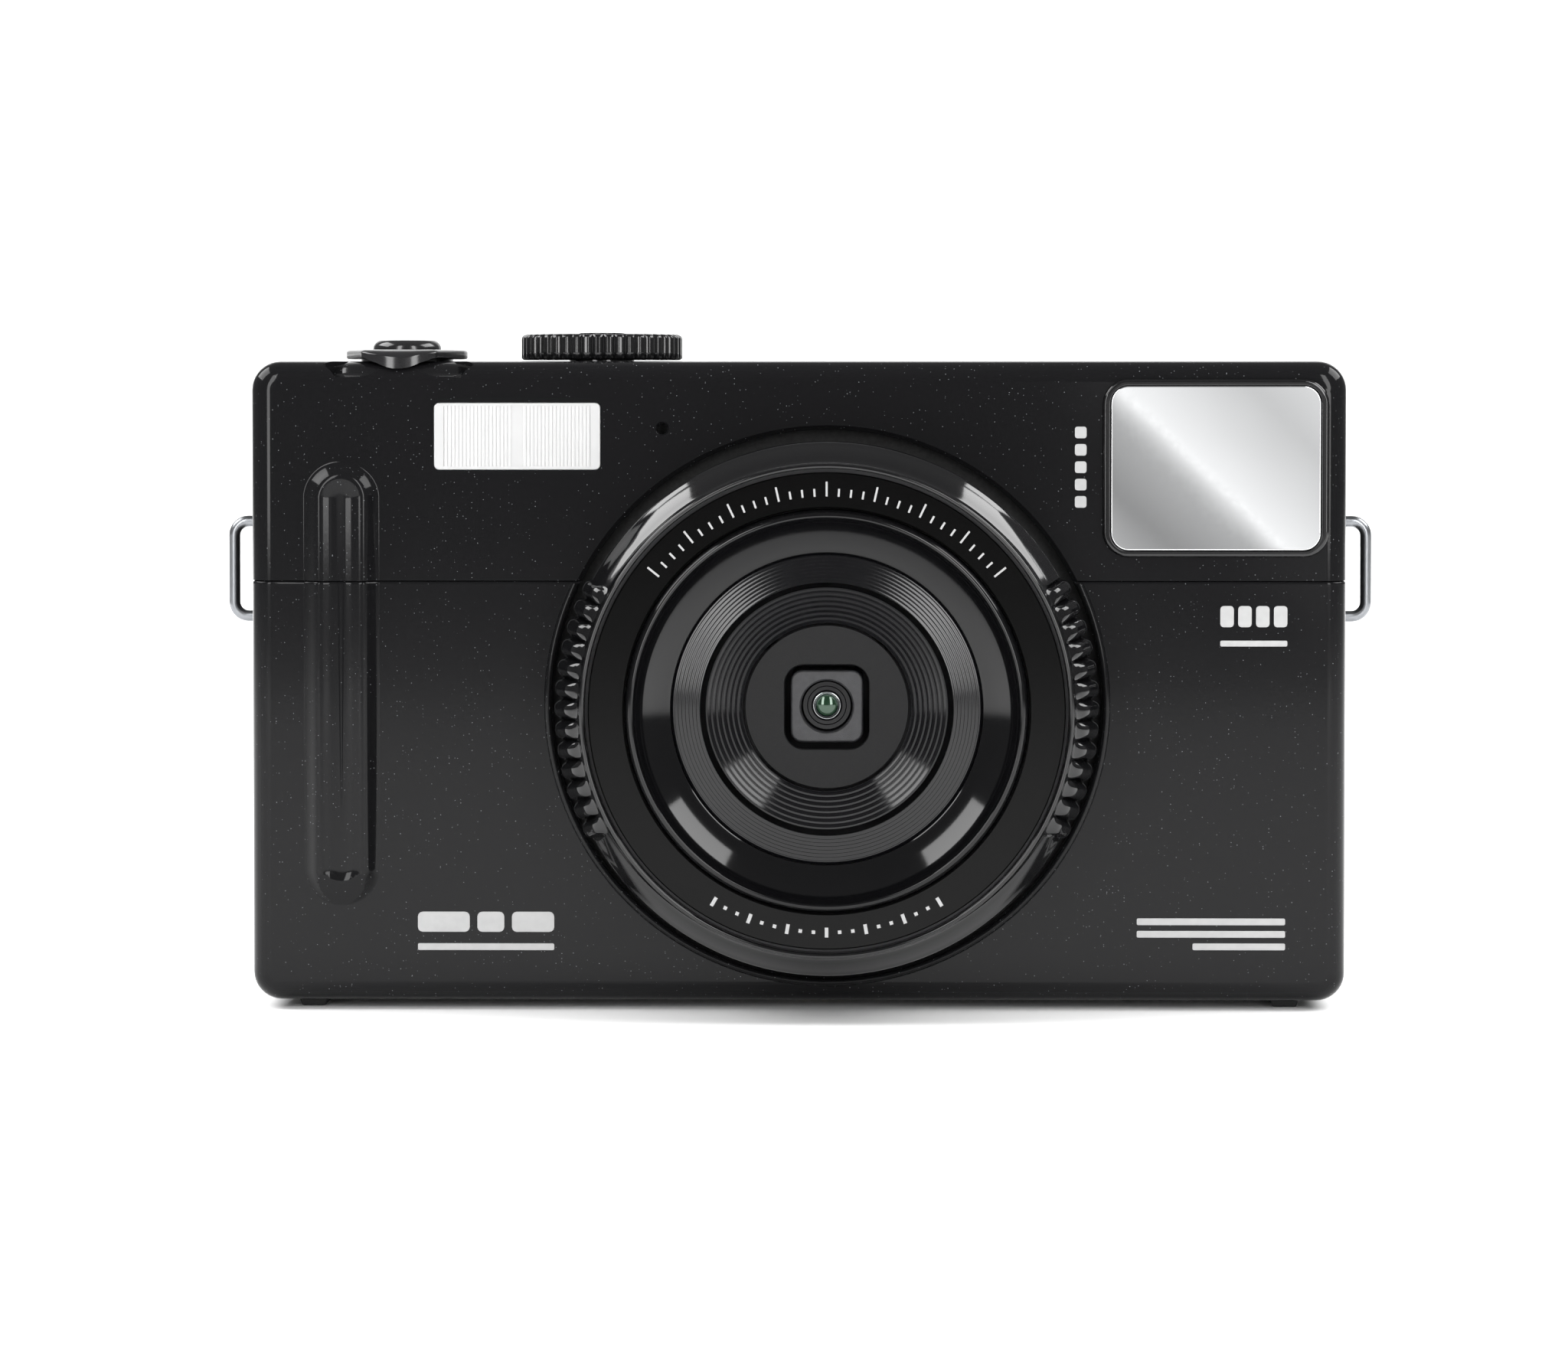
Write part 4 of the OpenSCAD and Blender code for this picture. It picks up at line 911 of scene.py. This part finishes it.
dial_x, dial_y = dial_mid.x, dial_mid.y
dial_r = dial_size.x / MM / 2
dial_ribs = 44
post_r = 3.45
dial = turned("ribbed_dial", dial_x, dial_y, roof_z, (0, 0, 1),
              [(0, -11), (1.5, -11), (1.5, -2.2), (post_r, -2.2), (post_r, 0.2), (8.3, 0.2), (dial_r, 0.4), (dial_r, 1.0), (dial_r, 1.7), (dial_r, 2.3)]
              + arc(dial_r - 0.5, 2.4, 0.5, 0, 90, 5) + [(7.7, 2.9), (7.55, 2.8), (3.2, 2.8), (3.05, 2.9), (2.5, 2.9), (2.5, 2.72), (0, 2.72)],
              dial_ribs * 16)
for vert in dial.data.vertices:
    x, y = vert.co.x - dial_x, vert.co.y - dial_y
    r = sqrt(x * x + y * y) / MM
    if r > 8.0 and vert.co.z > roof_z:
        share = abs((atan2(y, x) / tau * dial_ribs + 0.5) % 1 - 0.5) * 2       # 0 on a rib, 1 in a groove
        dip = 0.36 * max(0, (share - 0.3) / 0.7) ** 1.5 * min((r - 8.0) / 0.4, 1)
        vert.co.x -= x / r * dip
        vert.co.y -= y / r * dip
smooth(dial, 60)
dial_black = surface("gloss_black_dial", "101011", 0.12, grain=0.5)
dress(dial, dial_black, "dial", ["mode_dial"])
dial_top = turned("dial_disc", dial_x, dial_y, roof_z, (0, 0, 1), [(0, 2.75), (2.44, 2.75), (2.44, 3.02), (2.36, 3.09), (2.0, 3.09), (1.9, 3.04), (0, 3.04)], 96)
smooth(dial_top)
dress(dial_top, button_black, "dial", ["dial_cap"])
modes = []
for step in range(8):
    turn = tau * step / 8
    tick = turned("dial_mark", 0, 0, roof_z, (0, 0, 1), [(0, 2.79), (0.42, 2.79), (0.42, 2.815), (0, 2.815)], 24)
    tick.scale = (1, 2.2 if step % 2 else 1, 1)
    tick.rotation_euler = (0, 0, turn)
    tick.location = (dial_x + 5.6 * MM * sin(turn), dial_y - 5.6 * MM * cos(turn), 0)
    modes.append(settle(tick))
modes = weld(modes, "dial_marks")
dress(modes, grey_print, "dial", [])

shutter_x, shutter_y = shutter_mid.x, shutter_mid.y
ring_r = 6.43
nose_half = radians(72.7)
lever = turned("zoom_ring", shutter_x, shutter_y, roof_z, (0, 0, 1),
               [(3.97, -3.18), (4.88, -3.18), (4.88, 0.27), (5.4, 0.27), (6.1, 0.27), (6.34, 0.33), (6.43, 0.5), (6.43, 0.85)]
               + arc(6.13, 0.92, 0.3, 0, 90, 5) + [(5.8, 1.24), (4.9, 1.22), (4.2, 1.1), (3.97, 0.9), (3.97, -3.18)], 288)
UNDER = [(8.6, 0), (9.5, 0.18), (10.2, 0.55), (10.6, 1.0), (11.2, 1.3)]
for vert in lever.data.vertices:
    x, y = (vert.co.x - shutter_x) / MM, (vert.co.y - shutter_y) / MM
    r = sqrt(x * x + y * y)
    turn = abs(atan2(x, -y))
    if r < 5.0 or turn > nose_half:
        continue
    blunt = (10.62 - 0.09 * (10.3 * sin(turn)) ** 2) / cos(turn) if turn < 0.5 else 99
    reach = min(ring_r / cos(nose_half - turn), blunt)
    new_r = 4.9 + (r - 4.9) / (ring_r - 4.9) * (reach - 4.9)
    ahead = new_r * cos(turn)
    drop = 0
    for (r0, d0), (r1, d1) in zip(UNDER, UNDER[1:]):
        if ahead > r0:
            drop = d0 + (d1 - d0) * min((ahead - r0) / (r1 - r0), 1)
    height = (vert.co.z - roof_z) / MM
    vert.co.x = shutter_x + x * new_r / r * MM
    vert.co.y = shutter_y + y * new_r / r * MM
    vert.co.z -= drop * (1.25 if height < 0.6 else 0.55) * MM
smooth(lever, 50)
dress(lever, button_black, "lever", ["zoom_lever"])

scoop = turned("lever_scoop", shutter_x, shutter_y, roof_z, (0, 0, 1),
               [(8.0, 2), (8.0, 0.1), (8.7, 0.03), (9.6, -0.25), (10.3, -0.68), (10.7, -1.2), (11.3, -1.62), (12.5, -1.7), (12.5, 2), (8.0, 2)], 240)
for side in (-1, 1):
    beyond = box_solid((0, -20 * MM, -20 * MM), (20 * MM, 20 * MM, 20 * MM))
    beyond.rotation_euler = (0, 0, radians(39 if side > 0 else 141))
    beyond.location = (shutter_x, shutter_y, roof_z)
    cut(scoop, settle(beyond))
cut(upper_shell, scoop)
for shell, name in ((lower_shell, "front_cover"), (upper_shell, "top_cover"), (rear_shell, "rear_cover")):
    smooth(shell)
    dress(shell, case_plastic, "root", [name])

button = turned("shutter_dome", shutter_x, shutter_y, roof_z, (0, 0, 1),
                [(0, -9.3), (1.5, -9.3), (1.5, 0.15), (3.4, 0.15), (3.62, 0.4)] + [(3.62, 1.3)] + arc(2.62, 1.33, 1.0, 0, 70, 8)
                + [(2.4, 2.09), (1.8, 2.14), (1.0, 2.17), (0.5, 2.175), (0.42, 2.12), (0.3, 2.06), (0, 2.04)], 128)
smooth(button, 60)
dress(button, button_black, "shutter", ["shutter_button"])

power = turned("power_key", power_mid.x, power_mid.y, roof_z, (0, 0, 1),
               [(0, -4.55), (1.5, -4.55), (1.5, -2), (3.85, -2), (3.85, -1.62), (2.98, -1.62), (2.98, -0.2)] + arc(2.78, -0.2, 0.2, 0, 90, 4)
               + [(2.3, -0.03), (1.2, -0.1), (0, -0.12)], 96)
smooth(power, 60)
dress(power, button_black, "power", ["power_button"])
sign = turned("power_sign", power_mid.x, power_mid.y, roof_z, (0, 0, 1), [(1.0, -0.2), (1.22, -0.2), (1.22, -0.07), (1.0, -0.07), (1.0, -0.2)], 64)
cut(sign, box_solid((power_mid.x - 0.35 * MM, power_mid.y, roof_z - MM), (power_mid.x + 0.35 * MM, power_mid.y + 2 * MM, roof_z + MM)))
stroke = box_solid((power_mid.x - 0.11 * MM, power_mid.y + 0.3 * MM, roof_z - 0.2 * MM), (power_mid.x + 0.11 * MM, power_mid.y + 1.4 * MM, roof_z - 0.05 * MM))
sign = weld([sign, stroke], "power_sign")
dress(sign, grey_print, "power", [])

spring_low, spring_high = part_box("shutter_spring")
clear_selection()
bpy.ops.curve.primitive_nurbs_path_add(location=(0, 0, 0))
spring = bpy.context.object
spring.name = "return_spring"
spring.data.splines.clear()
coil = spring.data.splines.new("POLY")
coil_steps = 16 * 6
coil.points.add(coil_steps)
wire = 0.2 * MM
coil_low, coil_high = spring_low.z + wire, roof_z + 0.08 * MM - wire
for step, point in enumerate(coil.points):
    turn = tau * step / 16
    point.co = (shutter_x + 2.4 * MM * cos(turn), shutter_y + 2.4 * MM * sin(turn), coil_low + (coil_high - coil_low) * step / coil_steps, 1)
spring.data.bevel_depth = wire
spring.data.bevel_resolution = 2
spring.data.use_fill_caps = True
bpy.ops.object.convert(target="MESH")
spring = bpy.context.object
outward(spring)
smooth(spring, 60)
dress(spring, sheet_steel, "root", ["shutter_spring"])
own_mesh(spring)

# ---- Rear: screen, keys and thumb rest ----
# A black-bordered hard-coated window over the panel, flush with the shell; round gloss keys with a
# slight dish and printed signs; a ridged rubber rest for the thumb.

screen_glass, tree, place = blank_material("screen_window")
spot = node(tree, "ShaderNodeSeparateXYZ", links={"Vector": place})
shares = []
for output, centre, half in (("X", screen_mid.x, screen_w / 2 - 2.4 * MM), ("Z", screen_mid.z, screen_h / 2 - 2.4 * MM)):
    off = node(tree, "ShaderNodeMath", {"operation": "SUBTRACT", 1: centre}, {0: spot.outputs[output]})
    away = node(tree, "ShaderNodeMath", {"operation": "ABSOLUTE"}, {0: off.outputs[0]})
    shares.append(node(tree, "ShaderNodeMath", {"operation": "LESS_THAN", 1: half}, {0: away.outputs[0]}))
both = node(tree, "ShaderNodeMath", {"operation": "MULTIPLY"}, {0: shares[0].outputs[0], 1: shares[1].outputs[0]})
colour = node(tree, "ShaderNodeMix", {"data_type": "RGBA", 6: linear("070708"), 7: linear("14171c")}, {0: both.outputs[0]})
smear = node(tree, "ShaderNodeTexNoise", {"Scale": 1 / (12 * MM), "Detail": 4}, {"Vector": place})
sheen = node(tree, "ShaderNodeMapRange", {"To Min": 0.03, "To Max": 0.09}, {"Value": smear.outputs["Fac"]})
pane = node(tree, "ShaderNodeBsdfPrincipled", {"IOR": 1.5}, {"Base Color": colour.outputs[2], "Roughness": sheen.outputs[0]})
finish_material(tree, pane)
screen = plate("screen_pane", screen_mid.x, screen_mid.z, screen_w, screen_h, rear_y, -wall, 1.45 * MM, 0.12 * MM)
flange = plate("screen_flange", screen_mid.x, screen_mid.z, screen_size.x, screen_size.z, rear_y - wall, -0.6 * MM, 1.6 * MM)
combine(screen, flange, "UNION")
smooth(screen)
dress(screen, screen_glass, "root", ["lcd_window"])


pad_mid = middle_of("direction_pad")[0]

for key, body in (("menu_button", "menu"), ("delete_button", "delete"), ("playback_button", "playback")):
    mid, size = middle_of(key)
    r = size.x / MM / 2 - 0.8
    cap = turned(body + "_key", mid.x, rear_y, mid.z, (0, 1, 0),
                 [(0, -4.2), (0.9, -4.2), (0.9, -2.7), (r + 0.78, -2.7), (r + 0.78, -1.82), (r, -1.82), (r, 0.3)] + arc(r - 0.3, 0.3, 0.3, 0, 90, 4)
                 + [(r - 0.8, 0.55), (r / 2, 0.47), (0, 0.45)], 96)
    smooth(cap, 60)
    dress(cap, button_black, body, [key])
pad = turned("pad_ring", pad_mid.x, rear_y, pad_mid.z, (0, 1, 0),
             [(4.42, -2.7), (9.38, -2.7), (9.38, -1.82), (8.6, -1.82), (8.6, 0.3)] + arc(8.3, 0.3, 0.3, 0, 90, 4)
             + [(7.4, 0.5), (6.5, 0.42), (5.6, 0.5), (4.9, 0.6), (4.6, 0.55), (4.42, 0.4), (4.42, -2.7)], 144)
stems = []
for step in range(4):
    turn = tau * step / 4
    stems.append(turned("pad_stem", pad_mid.x + 6.6 * MM * cos(turn), rear_y, pad_mid.z + 6.6 * MM * sin(turn), (0, 1, 0),
                        [(0, -4.2), (0.9, -4.2), (0.9, -2.6), (0, -2.6)], 24))
pad = weld([pad] + stems, "pad_ring")
smooth(pad, 60)
dress(pad, button_black, "pad", ["direction_pad"])
centre_key = turned("centre_key", pad_mid.x, rear_y, pad_mid.z, (0, 1, 0),
                    [(0, -4.2), (0.9, -4.2), (0.9, -4.0), (4.9, -4.0), (4.9, -3.32), (4.1, -3.32), (4.1, 0.15)] + arc(3.85, 0.15, 0.25, 0, 90, 4)
                    + [(3.0, 0.34), (1.5, 0.26), (0, 0.24)], 112)
smooth(centre_key, 60)
dress(centre_key, button_black, "ok", ["ok_button"])


def key_sign(name, mid, outline, body):
    """A printed sign on a key: outline in mm about the key's middle, as seen from behind."""
    points = [(mid.x - u * MM, rear_y + 0.4 * MM, mid.z + v * MM) for u, v in outline]
    piece = bar_solid(name, points, (0, 0.185 * MM, 0))
    dress(piece, grey_print, body, [])
    return piece


key_sign("play_sign", middle_of("playback_button")[0], [(-0.6, -0.85), (0.85, 0), (-0.6, 0.85)], "playback")
key_sign("bin_sign", middle_of("delete_button")[0], [(-0.55, -0.9), (0.55, -0.9), (0.7, 0.5), (0.95, 0.5), (0.95, 0.75), (0.3, 0.75), (0.3, 0.95),
                                                     (-0.3, 0.95), (-0.3, 0.75), (-0.95, 0.75), (-0.95, 0.5), (-0.7, 0.5)], "delete")
for step in range(3):
    key_sign("menu_sign", middle_of("menu_button")[0], [(-0.9, -0.75 + step * 0.6), (0.9, -0.75 + step * 0.6), (0.9, -0.5 + step * 0.6), (-0.9, -0.5 + step * 0.6)], "menu")
for step in range(4):
    turn = tau * step / 4
    tip = [(cos(turn) * a - sin(turn) * b, sin(turn) * a + cos(turn) * b) for a, b in ((7.2, 0), (6.3, -0.75), (6.3, 0.75))]
    key_sign("pad_sign", pad_mid, tip, "pad")

rest = plate("thumb_pad", thumb_mid.x, thumb_mid.z, thumb_size.x, thumb_size.z, rear_y + 0.7 * MM, -1.3 * MM, 2.4 * MM, 0.35 * MM, 10)
for step in range(7):
    ridge = plate("thumb_ridge", thumb_mid.x, thumb_mid.z + (step - 3) * 1.7 * MM, 7.4 * MM, 0.8 * MM, rear_y + 0.98 * MM, -0.6 * MM, 0.38 * MM, 0.2 * MM)
    combine(rest, ridge, "UNION")
smooth(rest, 40)
dress(rest, rubber_black, "root", ["thumb_rest"])

# ---- Underside and side: battery door, tripod bush and socket ----
# A plastic door with a moulded-on hinge pin and finger grooves, a turned brass bush with a
# quarter-inch thread, and the tongue of the socket in the side.

door = box_solid((door_low.x, door_low.y + pin_len, case_z), (-17 * MM, door_high.y - pin_len, case_z + wall))
door.name = "battery_hatch"
round_edges(door, lambda edge: on_plane(edge, 2, case_z), 0.2 * MM, 3)
for step in range(5):
    groove = box_solid((door_low.x + (2.4 + step * 0.9) * MM, -1.5 * MM, case_z - MM), (door_low.x + (2.85 + step * 0.9) * MM, 4.5 * MM, case_z + 0.35 * MM))
    cut(door, groove)
door_y0, door_y1 = door_low.y / MM + 0.9, door_high.y / MM - 0.9
knuckle = turned("door_knuckle", -17 * MM, 0, case_z + wall / 2, (0, 1, 0), [(0, door_y0), (0.74, door_y0), (0.74, door_y1), (0, door_y1)], 48)
pin = turned("door_pin", -17 * MM, 0, case_z + wall / 2, (0, 1, 0), [(0, door_y0 - 0.9), (0.38, door_y0 - 0.9), (0.38, door_y1 + 0.9), (0, door_y1 + 0.9)], 32)
combine(door, knuckle, "UNION")
combine(door, pin, "UNION")
smooth(door)
dress(door, case_plastic, "door", ["battery_door"])

thread = []
for step in range(4):
    base = 0.3 + step * 1.27
    thread += [(3.2, base), (3.2, base + 0.15), (3.75, base + 0.6), (3.75, base + 0.7), (3.2, base + 1.15)]
bush = turned("threaded_bush", bush_mid.x, bush_mid.y, case_z, (0, 0, 1),
              [(0, 5.5), (3.2, 5.5)] + thread[::-1] + [(3.2, 0.2), (3.45, 0), (4.4, 0), (4.48, 0.1), (4.48, 6.68), (0, 6.68)], 96)
smooth(bush)
dress(bush, brass_metal, "root", ["tripod_bush"])

tongue = plate("socket_tongue", 0, 0, 0.7 * MM, 6.2 * MM, -4.6 * MM, 5.2 * MM, 0.1 * MM)
tongue.rotation_euler = (0, 0, radians(-90))
tongue.location = (half_w - 1.4 * MM, socket_mid.y, socket_mid.z)
settle(tongue)
smooth(tongue)
dress(tongue, inner_black, "root", [])

# ---- Inside ----
# Everything behind the shells keeps the frame's own shapes and takes a material for what it is made of.

screen_panel = surface("screen_panel", "2a2e35", 0.25, grain=0.4)
sensor_glass = surface("sensor_glass", "3c4060", 0.08, grain=0.2)
sleeve_blue = surface("capacitor_sleeve", "23242e", 0.3, grain=0.3)
tube_glass = surface("tube_glass", "e6edf2", 0.05, grain=0.5, **{"Transmission Weight": 0.8})
INNER = [
    (inner_black, ["lens_barrel", "mid_frame", "battery_box", "shutter_bracket", "dial_switch", "speaker"]),
    (sheet_steel, ["lever_washer", "lcd_frame", "usb_socket", "card_socket"]),
    (board_green, ["main_board", "key_board", "shutter_switch"]),
    (chip_black, ["board_chips", "sensor_board"]),
    (pack_sleeve, ["battery", "memory_card"]),
    (brass_metal, ["battery_contacts"]),
    # the microphone's black felt face is partly its own colour and partly painted shade that keeps the hole in the
    # front dark
    (shade_felt, ["microphone"]),
    (chrome, ["flash_reflector"]),
    (tube_glass, ["flash_tube"]),
    (sleeve_blue, ["flash_capacitor"]),
    (screen_panel, ["lcd_panel"]),
    (sensor_glass, ["image_sensor"]),
]
for material, names in INNER:
    for name in names:
        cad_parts[name].data.materials.clear()
        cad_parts[name].data.materials.append(material)
